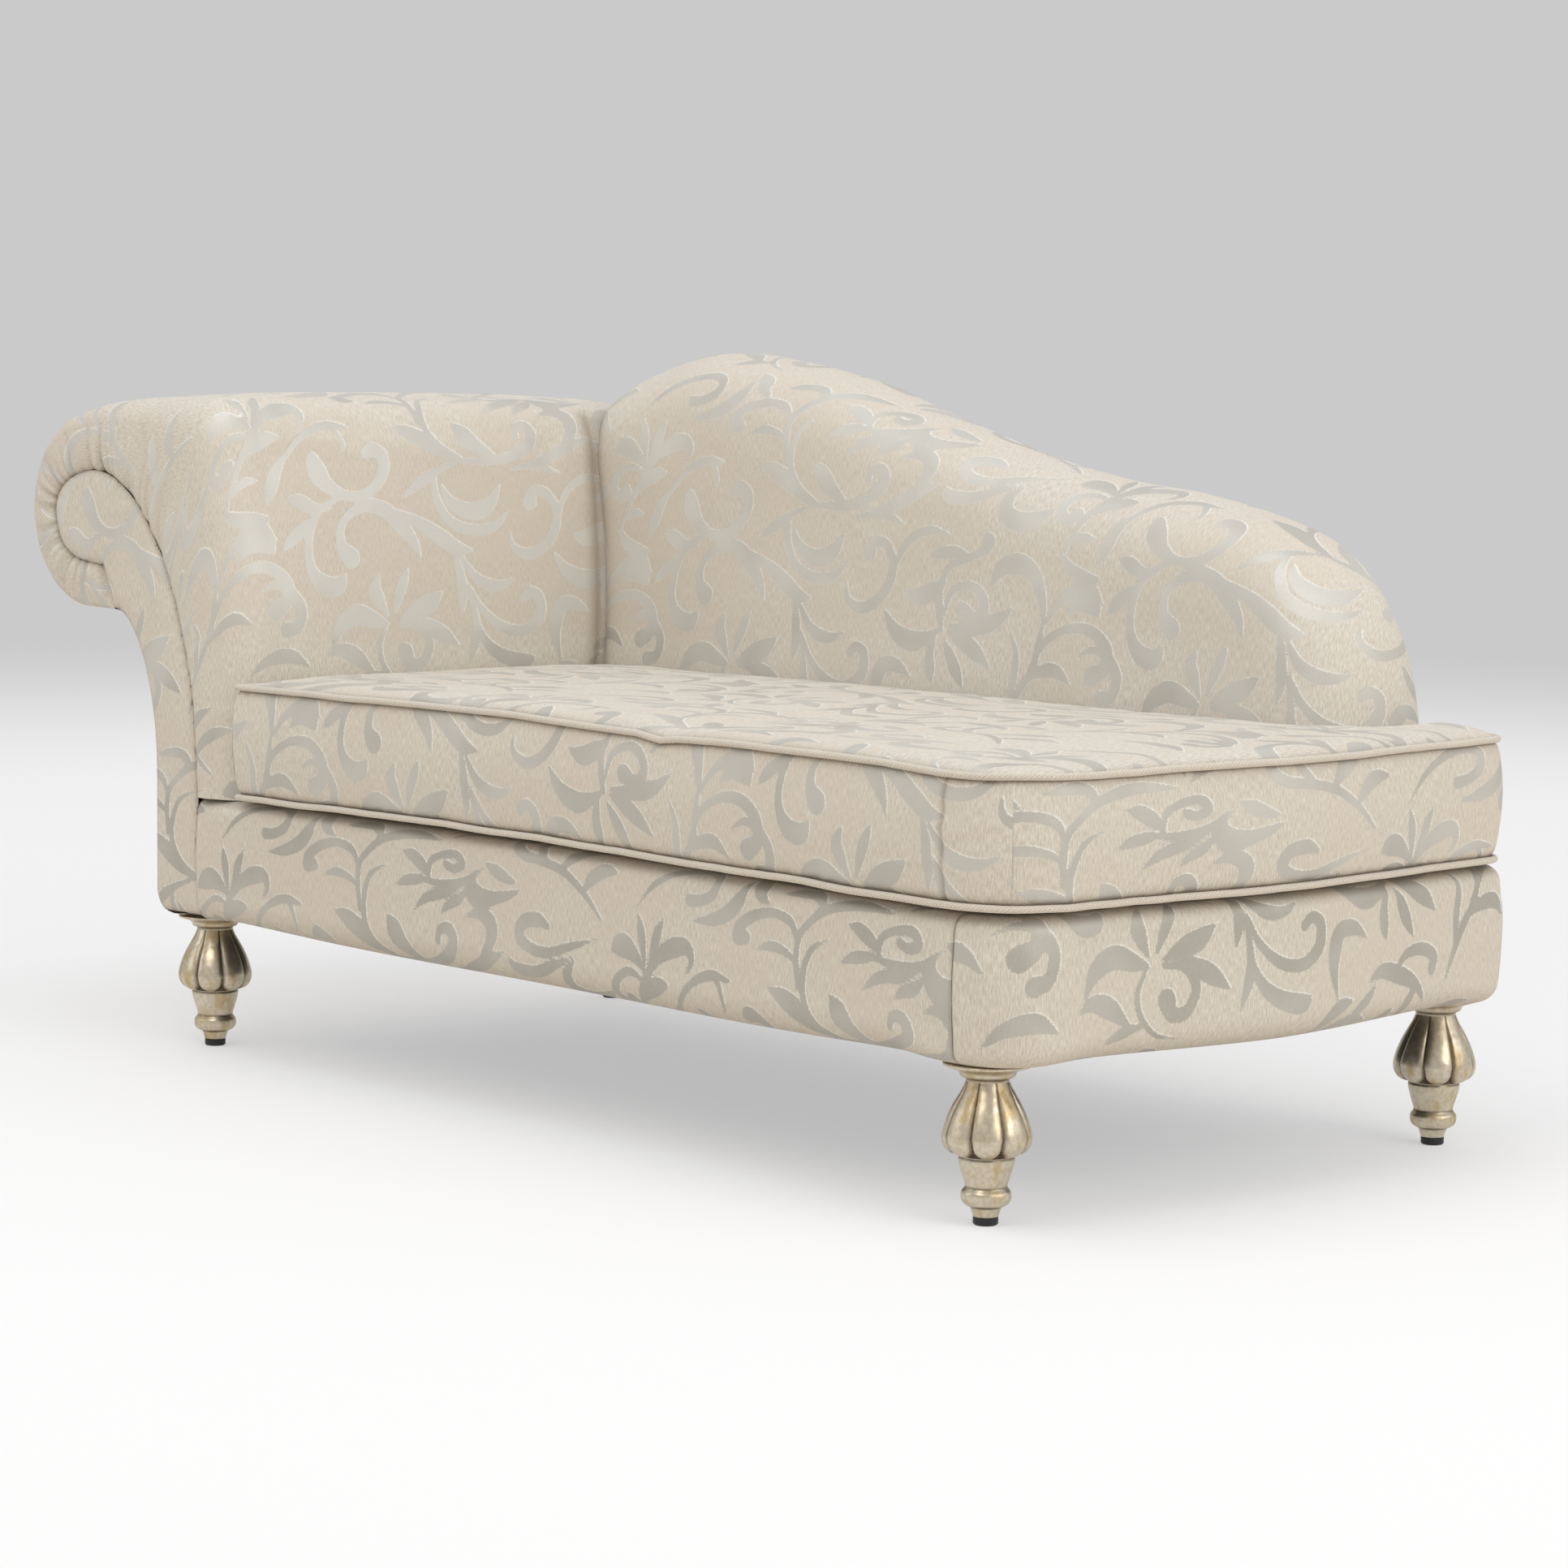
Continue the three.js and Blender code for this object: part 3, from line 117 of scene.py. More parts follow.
def finer(grid, axis, count):
    """One axis of a grid, taken smoothly to a new number of points."""
    a = np.moveaxis(np.asarray(grid, float), axis, 0)
    t = np.linspace(0, len(a) - 1, count)
    k = np.clip(np.floor(t).astype(int), 0, len(a) - 2)
    f = (t - k).reshape(-1, *([1] * (a.ndim - 1)))
    e = np.concatenate([2 * a[:1] - a[1:2], a, 2 * a[-1:] - a[-2:-1]])
    p, q, r, s = e[k], e[k + 1], e[k + 2], e[k + 3]
    out = 0.5 * (2 * q + (r - p) * f + (2 * p - 5 * q + 4 * r - s) * f ** 2 + (3 * q - p - 3 * r + s) * f ** 3)
    return np.moveaxis(out, 0, axis)


def noise(points, size, seed):
    """Smooth unevenness from -1 to 1 at points, with lumps about size millimetres across."""
    p = np.asarray(points, float).reshape(-1, points.shape[-1]) / size + 1000.0
    cell = np.floor(p).astype(np.int64)
    f = p - cell
    f = f * f * (3 - 2 * f)
    total = np.zeros(len(p))
    primes = np.array([374761393, 668265263, 1442695041])[: p.shape[1]]
    for corner in itertools.product((0, 1), repeat=p.shape[1]):
        code = ((cell + corner) @ primes + seed * 1274126177) & 0xFFFFFFFF
        code = ((code ^ (code >> 13)) * 1274126177) & 0xFFFFFFFF
        value = ((code ^ (code >> 16)) & 0xFFFF) / 32767.5 - 1
        total += value * np.prod(np.where(corner, f, 1 - f), axis=1)
    return total.reshape(points.shape[:-1])


def bump(x, centre, width):
    return np.exp(-(((x - centre) / width) ** 2))


def normals(grid, outward):
    """Unit normals of a grid of points, on the side of the outward direction."""
    a, b = np.gradient(grid, axis=0), np.gradient(grid, axis=1)
    n = np.cross(a, b)
    n /= np.maximum(np.linalg.norm(n, axis=-1, keepdims=True), 1e-9)
    return n if np.sum(n * outward) > 0 else -n


# %% [markdown]
# ## The figure of the damask
#
# The cloth is woven with a large scrolling figure: blossoms, forked branches and curled leaves in a
# smooth grey yarn on a nubbly cream ground. Every shape in it is a stroke that swells, tapers and
# curls, so the figure is drawn as a list of such strokes on one repeat of the cloth, and turned into
# a field that holds the distance from the figure's edge. A cover's points then look up that distance
# where they lie on the cloth, which keeps the edges crisp and lets the figure follow each cover.

# %% Strokes of the figure
REPEAT = (768.0, 448.0)    # one repeat of the cloth, across and up
# Each stroke is a row of places across and up the cloth, with half the stroke's width there.
STROKES = {
    "blossom over a spiral": [
        [(238, 52, 1.8), (218, 58, 8.8), (192, 65, 12.3), (168, 54, 9.7), (152, 28, 0.9)],
        [(237, 62, 1.8), (225, 84, 8.8), (221, 96, 7.9), (230, 115, 0.9)],
        [(248, 66, 2.6), (258, 90, 7), (266, 106, 6.2), (273, 120, 0.9)],
        [(258, 58, 2.6), (282, 68, 10.6), (302, 75, 11.4), (325, 90, 0.9)],
        [(276, 53, 3.5), (300, 48, 8.8), (322, 37, 9.7), (346, 22, 0.9)],
        [(258, 52, 3.5), (284, 49, 5.3), (300, 28, 6.2), (290, 6, 7), (270, 3, 7.9), (262, 18, 11.4)],
        [(234, 48, 2.6), (224, 26, 3.5), (230, 2, 3.5), (250, -16, 2.6), (282, -22, 0.9)],
        [(146, 18, 0.9), (166, 24, 7.9), (188, 15, 10.6), (211, -2, 3.5)],
        [(180, -21, 0.9), (204, -11, 6.2), (230, -5, 2.6)],
    ],
    "horned scroll": [
        [(149, 254, 7.9), (154, 238, 13.2), (165, 222, 9.7), (186, 210, 6.2), (212, 208, 6.2), (236, 218, 7),
         (253, 238, 7.9), (254, 258, 8.8), (240, 266, 9.7), (230, 261, 7)],
        [(107, 207, 0.9), (124, 202, 8.8), (142, 194, 7), (165, 194, 2.6)],
        [(187, 209, 2.6), (152, 192, 4.4), (134, 168, 5.3), (128, 140, 5.3), (132, 118, 7), (146, 102, 11.4),
         (166, 100, 10.6), (179, 115, 0.9)],
        [(93, 144, 0.9), (108, 158, 7.9), (124, 170, 7), (138, 179, 2.6)],
    ],
    "arch and its branch": [
        [(189, 134, 13.2), (178, 146, 7.9), (178, 168, 5.3), (194, 186, 5.3), (222, 196, 7.9),
         (248, 190, 9.7), (269, 172, 10.6), (286, 152, 7), (295, 130, 0.9)],
        [(240, 194, 2.6), (272, 184, 5.3), (302, 172, 7.9), (330, 155, 10.6), (352, 142, 8.8), (378, 138, 0.9)],
        [(349, 133, 3.5), (354, 104, 7), (355, 80, 6.2), (352, 61, 0.9)],
        [(358, 130, 2.6), (376, 106, 6.2), (398, 95, 7.9), (420, 95, 5.3), (440, 104, 0.9)],
        [(365, 96, 1.8), (384, 66, 4.4), (413, 44, 6.2), (448, 38, 7), (473, 54, 7.9), (475, 77, 7),
         (461, 86, 6.2), (450, 78, 6.2)],
        [(365, 92, 2.6), (373, 54, 5.3), (371, 28, 7), (360, -2, 0.9)],
        [(373, 54, 1.8), (387, 26, 6.2), (413, 8, 8.8), (448, 0, 9.7), (464, 6, 0.9)],
    ],
    "lotus on its stem": [
        [(322, 302, 3.5), (319, 328, 4.4), (323, 352, 4.4), (342, 370, 4.4), (371, 386, 5.3), (416, 395, 6.2),
         (472, 392, 0.9)],
        [(350, 374, 3.5), (361, 387, 5.3), (349, 398, 6.2), (322, 398, 5.3), (296, 393, 0.9)],
        [(320, 347, 2.6), (309, 366, 5.3), (280, 372, 5.3), (250, 366, 6.2), (227, 353, 7), (222, 341, 7.9),
         (237, 342, 7)],
        [(319, 326, 2.6), (300, 335, 4.4), (276, 338, 5.3), (254, 332, 0.9)],
        [(372, 355, 0.9), (346, 344, 3.5), (332, 322, 4.4), (330, 294, 4.4), (346, 270, 4.4), (371, 254, 3.5)],
        [(274, 296, 0.9), (298, 290, 8.8), (324, 278, 11.4), (349, 263, 7.9), (374, 254, 2.6)],
        [(370, 250, 1.8), (336, 238, 4.4), (308, 224, 7), (274, 203, 0.9)],
        [(373, 299, 1.8), (386, 285, 12.3), (402, 270, 10.6), (426, 256, 3.5)],
        [(364, 251, 2.6), (400, 250, 4.4), (440, 253, 7), (474, 265, 7.9), (494, 282, 7.9), (486, 296, 7),
         (470, 294, 5.3), (467, 283, 4.4)],
        [(340, 219, 1.8), (352, 198, 7.9), (380, 187, 10.6), (408, 194, 9.7), (431, 221, 0.9)],
        [(331, 235, 2.6), (329, 208, 5.3), (344, 178, 6.2), (376, 164, 7), (410, 166, 6.2), (440, 187, 0.9)],
    ],
    "upper sprays": [
        [(448, 238, 1.8), (488, 246, 5.3), (520, 258, 7.9), (552, 271, 7), (587, 284, 0.9)],
        [(514, 311, 0.9), (538, 317, 6.2), (558, 311, 9.7), (563, 298, 9.7), (553, 282, 5.3), (536, 269, 0.9)],
        [(480, 237, 0.9), (504, 241, 4.4), (531, 233, 0.9)],
        [(402, 374, 0.9), (420, 370, 7.9), (437, 361, 7.9), (450, 352, 1.8)],
        [(389, 334, 0.9), (408, 341, 6.2), (428, 344, 6.2), (446, 347, 1.8)],
        [(448, 346, 3.5), (453, 366, 4.4), (474, 376, 4.4), (499, 378, 5.3), (510, 369, 5.3), (495, 362, 5.3),
         (480, 365, 5.3)],
        [(442, 344, 2.6), (480, 343, 5.3), (512, 350, 4.4), (552, 370, 0.9)],
        [(422, 310, 0.9), (448, 326, 6.2), (480, 334, 6.2), (510, 346, 1.8)],
        [(472, 310, 0.9), (486, 321, 5.3), (504, 329, 6.2), (518, 342, 0.9)],
        [(534, 363, 1.8), (524, 346, 10.6), (538, 334, 13.2), (565, 336, 7.9), (592, 342, 5.3),
         (614, 350, 0.9)],
        [(552, 373, 1.8), (570, 366, 7.9), (592, 359, 5.3), (606, 358, 0.9)],
        [(662, 316, 3.5), (645, 321, 7.9), (621, 317, 7.9), (612, 302, 7.9), (629, 292, 6.2), (661, 290, 5.3),
         (698, 299, 4.4), (746, 311, 0.9)],
        [(593, 278, 1.8), (603, 268, 7.9), (636, 268, 7), (669, 278, 5.3), (704, 290, 0.9)],
        [(707, 287, 1.8), (693, 270, 7.9), (695, 252, 10.6), (718, 243, 11.4), (746, 249, 8.8),
         (768, 263, 0.9)],
    ],
    "side blossom": [
        [(6, 304, 1.8), (24, 311, 12.3), (44, 305, 8.8), (62, 292, 2.6)],
        [(54, 347, 0.9), (59, 328, 7), (63, 308, 4.4), (65, 290, 1.8)],
        [(98, 347, 0.9), (87, 328, 7), (79, 310, 4.4), (70, 290, 1.8)],
        [(68, 284, 2.6), (88, 305, 7), (116, 318, 10.6), (138, 320, 7.9), (145, 307, 4.4), (133, 292, 0.9)],
        [(66, 288, 2.6), (50, 260, 4.4), (36, 236, 3.5), (22, 206, 1.8)],
        [(56, 283, 2.6), (36, 287, 4.4), (16, 278, 5.3), (6, 261, 6.2), (18, 248, 7), (30, 256, 8.8)],
        [(48, 256, 1.8), (64, 270, 8.8), (86, 278, 8.8), (106, 281, 0.9)],
        [(26, 218, 0.9), (48, 229, 5.3), (69, 227, 0.9)],
        [(75, 198, 0.9), (86, 219, 7.9), (94, 238, 7.9), (109, 257, 2.6)],
        [(96, 238, 2.6), (120, 266, 3.5), (148, 288, 4.4), (180, 298, 5.3), (211, 295, 1.8)],
        [(186, 296, 3.5), (195, 284, 3.5), (197, 269, 2.6), (187, 259, 0.9)],
        [(19, 208, 1.8), (38, 190, 7.9), (62, 181, 8.8), (80, 184, 0.9)],
        [(30, 141, 0.9), (50, 155, 9.7), (70, 154, 11.4), (81, 141, 0.9)],
        [(50, 94, 0.9), (74, 104, 4.4), (98, 96, 6), (112, 76, 7), (107, 55, 7.5), (90, 50, 9)],
    ],
    "hanging blossom": [
        [(504, 131, 1.8), (524, 108, 9.7), (552, 98, 12.3), (578, 104, 7), (598, 114, 2.6)],
        [(591, 107, 1.8), (584, 84, 7), (586, 66, 7.9), (590, 50, 0.9)],
        [(606, 102, 1.8), (618, 84, 7.9), (630, 66, 7.9), (642, 49, 0.9)],
        [(612, 112, 2.6), (636, 102, 9.7), (660, 90, 9.7), (684, 73, 0.9)],
        [(614, 118, 2.6), (648, 118, 8.8), (684, 127, 9.7), (719, 146, 0.9)],
        [(536, 155, 0.9), (560, 150, 10.6), (584, 158, 10.6), (602, 168, 2.6)],
        [(600, 114, 3.5), (595, 140, 5.3), (597, 168, 4.4), (611, 188, 4.4), (640, 198, 4.4), (663, 207, 6.2),
         (672, 218, 10.6)],
        [(602, 126, 1.8), (614, 157, 4.4), (640, 167, 5.3), (662, 159, 6.2), (669, 142, 7), (653, 130, 7),
         (634, 137, 10.6)],
        [(576, 198, 0.9), (596, 202, 7), (620, 205, 6.2), (643, 200, 1.8)],
        [(474, 197, 10.6), (480, 210, 7), (500, 210, 6.2), (514, 192, 6.2), (512, 168, 7), (493, 144, 7),
         (464, 132, 7), (440, 142, 4.4), (437, 163, 0.9)],
        [(515, 172, 2.6), (528, 200, 4.4), (548, 219, 5.3), (576, 228, 5.3), (610, 223, 0.9)],
    ],
    "branch of crescents": [
        [(677, 166, 1.8), (694, 188, 8.8), (720, 195, 12.3), (744, 186, 10.6), (758, 164, 7.9),
         (765, 133, 3.5)],
        [(768, 130, 2.6), (788, 154, 5.3), (812, 167, 8.8), (837, 171, 7), (854, 155, 0.9)],
        [(749, 80, 3.5), (768, 108, 4.4), (800, 125, 5.3), (836, 125, 7), (861, 108, 7.9), (862, 86, 8.8),
         (843, 74, 11.4)],
        [(765, 133, 2.6), (758, 104, 4.4), (752, 78, 4.4), (734, 54, 5.3), (717, 27, 4.4), (704, 0, 1.8)],
        [(744, 66, 2.6), (764, 75, 7), (788, 77, 7.9), (811, 62, 0.9)],
        [(714, 118, 0.9), (724, 92, 4.4), (722, 64, 5.3), (718, 32, 1.8)],
        [(554, 57, 0.9), (532, 68, 7.9), (510, 68, 9.7), (500, 52, 10.6), (498, 28, 7), (506, -2, 0.9)],
    ],
    "small leaves between": [
        [(48, 350, 0.9), (80, 379, 3.5), (120, 398, 4.4), (164, 406, 5.3), (186, 398, 6.2), (182, 382, 6.2),
         (160, 372, 6.2), (141, 370, 7)],
        [(146, 349, 0.9), (180, 354, 7), (208, 365, 8.8), (228, 382, 7.9), (242, 406, 0.9)],
        [(246, 413, 1.8), (258, 400, 11.4), (261, 389, 7.9), (276, 381, 0.9)],
        [(560, 10, 0.9), (584, 19, 7.9), (616, 12, 9.7), (646, 0, 7), (669, -22, 0.9)],
        [(608, 16, 1.8), (628, 32, 5.3), (658, 35, 7), (680, 26, 7), (678, 12, 7)],
        [(528, -24, 0.9), (552, -11, 6.2), (573, 6, 1.8)],
        [(40, 0, 0.9), (64, 16, 7), (94, 19, 8.8), (120, 6, 0.9)],
        [(756, 332, 1.8), (726, 358, 4.4), (690, 378, 5.3), (650, 386, 5.3), (618, 390, 6.2), (598, 403, 7),
         (608, 418, 7.9)],
        [(686, 381, 1.8), (707, 398, 8.8), (730, 413, 9.7), (755, 421, 0.9)],
        [(724, 358, 1.8), (741, 376, 7.9), (762, 386, 7.9), (787, 386, 0.9)],
        [(490, 398, 1.8), (514, 413, 7.9), (541, 419, 9.7), (573, 413, 0.9)],
        [(480, 403, 1.8), (493, 424, 7), (512, 438, 7.9), (533, 443, 0.9)],
        [(661, 387, 1.8), (640, 406, 7), (637, 429, 7.9), (650, 448, 0.9)],
    ],
}


def figure_strokes():
    parts = []
    for row in itertools.chain(*STROKES.values()):
        smooth = finer(np.array(row, float), 0, 6 * (len(row) - 1) + 1)
        parts.append((smooth[:, 0], smooth[:, 1], smooth[:, 2].clip(0.3)))
    return parts


def figure_field(parts, step):
    """Distance in millimetres from the figure's edge over one repeat, below 0 inside the figure."""
    across, up = int(REPEAT[0] / step), int(REPEAT[1] / step)
    field = np.full((up, across), 60.0)
    for px, py, w in parts:
        for i in range(len(px) - 1):
            reach = max(w[i], w[i + 1]) + 24
            left, right = sorted((px[i], px[i + 1]))
            low, high = sorted((py[i], py[i + 1]))
            iu = np.arange(math.floor((left - reach) / step), math.ceil((right + reach) / step) + 1)
            iv = np.arange(math.floor((low - reach) / step), math.ceil((high + reach) / step) + 1)
            gx, gy = np.meshgrid(iu * step - px[i], iv * step - py[i])
            dx, dy = px[i + 1] - px[i], py[i + 1] - py[i]
            t = np.clip((gx * dx + gy * dy) / (dx * dx + dy * dy + 1e-9), 0, 1)
            away = np.hypot(gx - t * dx, gy - t * dy) - mix(w[i], w[i + 1], t)
            spot = np.ix_(iv % up, iu % across)
            field[spot] = np.minimum(field[spot], away)
    return field


FIELD_STEP = 1.6
FIGURE = figure_field(figure_strokes(), FIELD_STEP)
print("the figure covers", round(float((FIGURE < 0).mean()), 2), "of the cloth")


def figure_at(cloth):
    """The distance from the figure's edge at places on the cloth, in millimetres."""
    p = cloth / FIELD_STEP
    cell = np.floor(p).astype(int)
    f = p - cell
    up, across = FIGURE.shape
    u0, v0 = cell[..., 0] % across, cell[..., 1] % up
    u1, v1 = (u0 + 1) % across, (v0 + 1) % up
    low = mix(FIGURE[v0, u0], FIGURE[v0, u1], f[..., 0])
    return mix(low, mix(FIGURE[v1, u0], FIGURE[v1, u1], f[..., 0]), f[..., 1])


# %% [markdown]
# ## How a cover is made
#
# Each cover is a grid of points that follows the padding, with a second grid that says where each
# point lies on the flat cloth. Grids that share an edge are welded into one mesh. The place on the
# cloth becomes a UV map, and the distance from the figure's edge becomes an attribute, so one material
# serves every cover. A further attribute carries the painted shade of creases, seams and crevices.

# %% From grids to a cover
def grid_faces(rows, columns):
    index = np.arange(rows * columns).reshape(rows, columns)
    return np.stack([index[:-1, :-1], index[1:, :-1], index[1:, 1:], index[:-1, 1:]], -1).reshape(-1, 4)


def patch(grid, direction, cloth, painted_shade=None):
    """A grid of points that faces the given way, with its places on the cloth in millimetres and its painted shade.
    """
    a, b = np.gradient(grid, axis=0), np.gradient(grid, axis=1)
    faces = grid_faces(*grid.shape[:2])
    faces = faces if np.sum(np.cross(a, b) * direction) > 0 else faces[:, ::-1]
    dark = np.zeros(grid.shape[:2]) if painted_shade is None else painted_shade
    return {"points": grid.reshape(-1, 3), "faces": faces, "cloth": cloth.reshape(-1, 2), "painted_shade": dark.ravel()}


def as_mesh(name, points, corners, counts):
    mesh = bpy.data.meshes.new(name)
    mesh.vertices.add(len(points))
    mesh.vertices.foreach_set("co", (points * MM + HOME).astype(np.float32).ravel())
    mesh.loops.add(len(corners))
    mesh.loops.foreach_set("vertex_index", corners.astype(np.int32))
    mesh.polygons.add(len(counts))
    mesh.polygons.foreach_set("loop_start", np.concatenate([[0], np.cumsum(counts)[:-1]]).astype(np.int32))
    mesh.polygons.foreach_set("use_smooth", np.ones(len(counts), bool))
    mesh.update(calc_edges=True)
    mesh.validate()
    return mesh


def in_scene(name, mesh, finish):
    piece = bpy.data.objects.new(name, mesh)
    bpy.context.scene.collection.objects.link(piece)
    mesh.materials.append(finish)
    return piece


RIM_WAY = np.array([-1.5, -1.1])    # the pale outline shows on one side of the figure


def cover(name, patches, finish, hidden=None):
    """Welds patches into one mesh that knows where it lies on the cloth. Hidden faces are left out."""
    starts = np.cumsum([0] + [len(p["points"]) for p in patches])
    points = np.concatenate([p["points"] for p in patches])
    faces = np.concatenate([p["faces"] + n for p, n in zip(patches, starts)])
    if hidden is not None:
        faces = faces[~hidden(points)[faces].all(1)]
    cloth = np.concatenate([p["cloth"] for p in patches])[faces]
    painted_shade = np.concatenate([p["painted_shade"] for p in patches])[faces]
    _, first, same = np.unique(np.round(points / 0.02).astype(np.int64), axis=0, return_index=True,
                               return_inverse=True)
    faces = same.reshape(-1)[faces]
    kept = faces != np.roll(faces, -1, axis=1)
    whole = (kept.sum(1) > 2) & (faces[:, 0] != faces[:, 2]) & (faces[:, 1] != faces[:, 3])
    _, once = np.unique(np.sort(faces, axis=1), axis=0, return_index=True)
    whole &= np.isin(np.arange(len(faces)), once)
    kept &= whole[:, None]
    mesh = as_mesh(name, points[first], faces[kept], kept[whole].sum(1))
    places = cloth[kept]
    mesh.uv_layers.new(name="cloth").data.foreach_set("uv", (places * MM).astype(np.float32).ravel())
    # Each corner also carries the painted shade of creases, seams and crevices.
    for label, values in (("figure", figure_at(places)), ("rim", figure_at(places + RIM_WAY)),
                          ("painted_shade", painted_shade[kept])):
        mesh.attributes.new(label, "FLOAT", "CORNER").data.foreach_set("value", values.astype(np.float32))
    piece = in_scene(name, mesh, finish)
    print(name, len(mesh.polygons), "faces")
    return piece


def filled(outline, step):
    """Covers a flat outline with an even net whose rim lies on the outline: places, faces, depth inside."""
    low, high = outline.min(0) - step, outline.max(0) + step
    columns, rows = (np.ceil((high - low) / step).astype(int) + 1)
    gx, gy = np.meshgrid(low[0] + step * np.arange(columns), low[1] + step * np.arange(rows))
    spots = np.stack([gx.ravel(), gy.ravel()], 1)
    a, b = outline, np.roll(outline, -1, axis=0)
    inside = np.zeros(len(spots), bool)
    near, depth = np.zeros_like(spots), np.full(len(spots), 1e9)
    for (ax, ay), (bx, by) in zip(a, b):
        if ay != by:
            inside ^= ((spots[:, 1] > ay) != (spots[:, 1] > by)) & (
                spots[:, 0] < ax + (spots[:, 1] - ay) * (bx - ax) / (by - ay))
        t = np.clip(((spots - (ax, ay)) @ (bx - ax, by - ay)) / max((bx - ax) ** 2 + (by - ay) ** 2, 1e-9), 0, 1)
        foot = np.array([ax, ay]) + t[:, None] * (bx - ax, by - ay)
        away = np.hypot(*(spots - foot).T)
        closer = away < depth
        near[closer], depth[closer] = foot[closer], away[closer]
    faces = grid_faces(rows, columns)
    faces = faces[inside[faces].any(1)]
    rim = ~inside | (depth < 0.3 * step)
    spots[rim], depth[rim] = near[rim], 0
    used, faces = np.unique(faces, return_inverse=True)
    return spots[used], faces.reshape(-1, 4), depth[used]


# %% [markdown]
# ## Surfaces
#
# Every finish is a small tree of nodes. The colours are written the way they look in the photograph's
# soft light, in values from 0 to 255.

# %% Building a finish
def tone(red, green, blue):
    """A colour as it shows on a screen, turned into the light that a shader works with."""
    parts = (c / 255 for c in (red, green, blue))
    return tuple(c / 12.92 if c <= 0.04045 else ((c + 0.055) / 1.055) ** 2.4 for c in parts) + (1.0,)


class Surface:
    """A material whose nodes are added one at a time."""

    def __init__(self, name, **shader):
        self.material = bpy.data.materials.new(name)
        self.material.use_nodes = True
        self.tree = self.material.node_tree
        self.shader = self.tree.nodes["Principled BSDF"]
        self.set(shader)

    def set(self, values):
        for key, value in values.items():
            self.join(value, self.shader.inputs[key.replace("_", " ")])

    def join(self, value, socket):
        if isinstance(value, bpy.types.NodeSocket):
            self.tree.links.new(value, socket)
        else:
            socket.default_value = value

    def put(self, kind, values, out=0, **settings):
        node = self.tree.nodes.new(kind)
        for key, value in settings.items():
            setattr(node, key, value)
        for key, value in values.items():
            self.join(value, node.inputs[key])
        return node.outputs[out]

    def value(self, name):
        return self.put("ShaderNodeAttribute", {}, 2, attribute_name=name)

    def cloth(self, across=1.0, up=1.0):
        place = self.put("ShaderNodeUVMap", {}, uv_map="cloth")
        return self.put("ShaderNodeMapping", {"Vector": place, "Scale": (across, up, 1.0)})

    def place(self, x=1.0, y=1.0, z=1.0):
        spot = self.put("ShaderNodeTexCoord", {}, 3)
        return self.put("ShaderNodeMapping", {"Vector": spot, "Scale": (x, y, z)})

    def grain(self, vector, scale, detail=2.0, roughness=0.5):
        return self.put("ShaderNodeTexNoise", {"Vector": vector, "Scale": scale, "Detail": detail,
                                               "Roughness": roughness})

    def math(self, operation, a, b=0.0):
        return self.put("ShaderNodeMath", {0: a, 1: b}, operation=operation)

    def step(self, value, start, end, low=0.0, high=1.0):
        return self.put("ShaderNodeMapRange", {"Value": value, "From Min": start, "From Max": end,
                                               "To Min": low, "To Max": high}, interpolation_type="SMOOTHSTEP")

    def blend(self, share, first, second):
        return self.put("ShaderNodeMix", {0: share, 6: first, 7: second}, 2, data_type="RGBA")

    def shaded(self, colour, share, darkest):
        """A colour multiplied towards a darker one."""
        return self.put("ShaderNodeMix", {0: share, 6: colour, 7: darkest}, 2, data_type="RGBA",
                        blend_type="MULTIPLY")

    def relief(self, height, strength, distance=0.001):
        self.set({"Normal": self.put("ShaderNodeBump", {"Height": height, "Strength": strength,
                                                        "Distance": distance})})


# %% [markdown]
# ## The damask
#
# On the real cloth the ground is a soft chenille with short slubs running up the cloth, and the figure
# is a flat satin weave of a cooler, smoother yarn. Where the two meet, a cream yarn outlines one side of
# the figure. The satin catches the light at some angles, so the same figure reads darker than its ground
# on one face of the sofa and lighter on another. Here that sheen is painted into the satin's colour place by
# place, and the ground is painted darker on the arm's inner face, where shade gathers.

# %% The damask's finish
def painted_satin_sheen(s):
    """Painted sheen: how bright the satin is painted at each place, and the arm's inner corner as a mask for painted
    sheen and painted shade.

    On the real cloth the yarns run one way over the whole sofa, so they throw the light back most on the arm's inner
    face and beside it on the back, less on the rest of the back, less again on the crests and the cushion, and
    hardly on the base. Here that reflection is painted into the colour by place, from the object's coordinates.
    A noise makes the painted sheen drift from place to place, as the cloth isn't quite flat.
    """
    spot = s.put("ShaderNodeTexCoord", {}, 3)
    x, y, z = (s.put("ShaderNodeSeparateXYZ", {"Vector": spot}, k) for k in range(3))
    home_x, home_y = float(HOME[0]), float(HOME[1])
    corner = s.step(x, home_x - 1.20, home_x - 0.80, 1.0, 0.0)
    for mask in (s.step(x, home_x - 1.50, home_x - 1.43), s.step(y, home_y + 0.01, home_y + 0.16),
                 s.step(z, 0.47, 0.51), s.step(z, 0.68, 0.78, 1.0, 0.0)):
        corner = s.math("MULTIPLY", corner, mask)
    # Painted sheen by height: little on the base, more higher up, less again on the crests.
    shine = s.step(z, 0.29, 0.33, 0.08, 0.34)
    for low, high, gain in ((0.436, 0.448, 0.14), (0.50, 0.58, 0.24)):
        shine = s.math("ADD", shine, s.step(z, low, high, 0.0, gain))
    crest_line = s.step(x, home_x - 1.0, home_x - 0.2, 0.76, 0.60)
    crest = s.step(s.math("SUBTRACT", z, crest_line), -0.02, 0.05)
    shine = s.math("SUBTRACT", shine, s.math("MULTIPLY", crest, 0.2))
    sheen_drift = s.grain(s.place(), 9.0, 2.0)
    shine = s.math("ADD", shine, s.step(sheen_drift, 0.36, 0.66, 0.0, 0.32))
    return s.math("MAXIMUM", shine, s.math("MULTIPLY", corner, 0.88)), corner


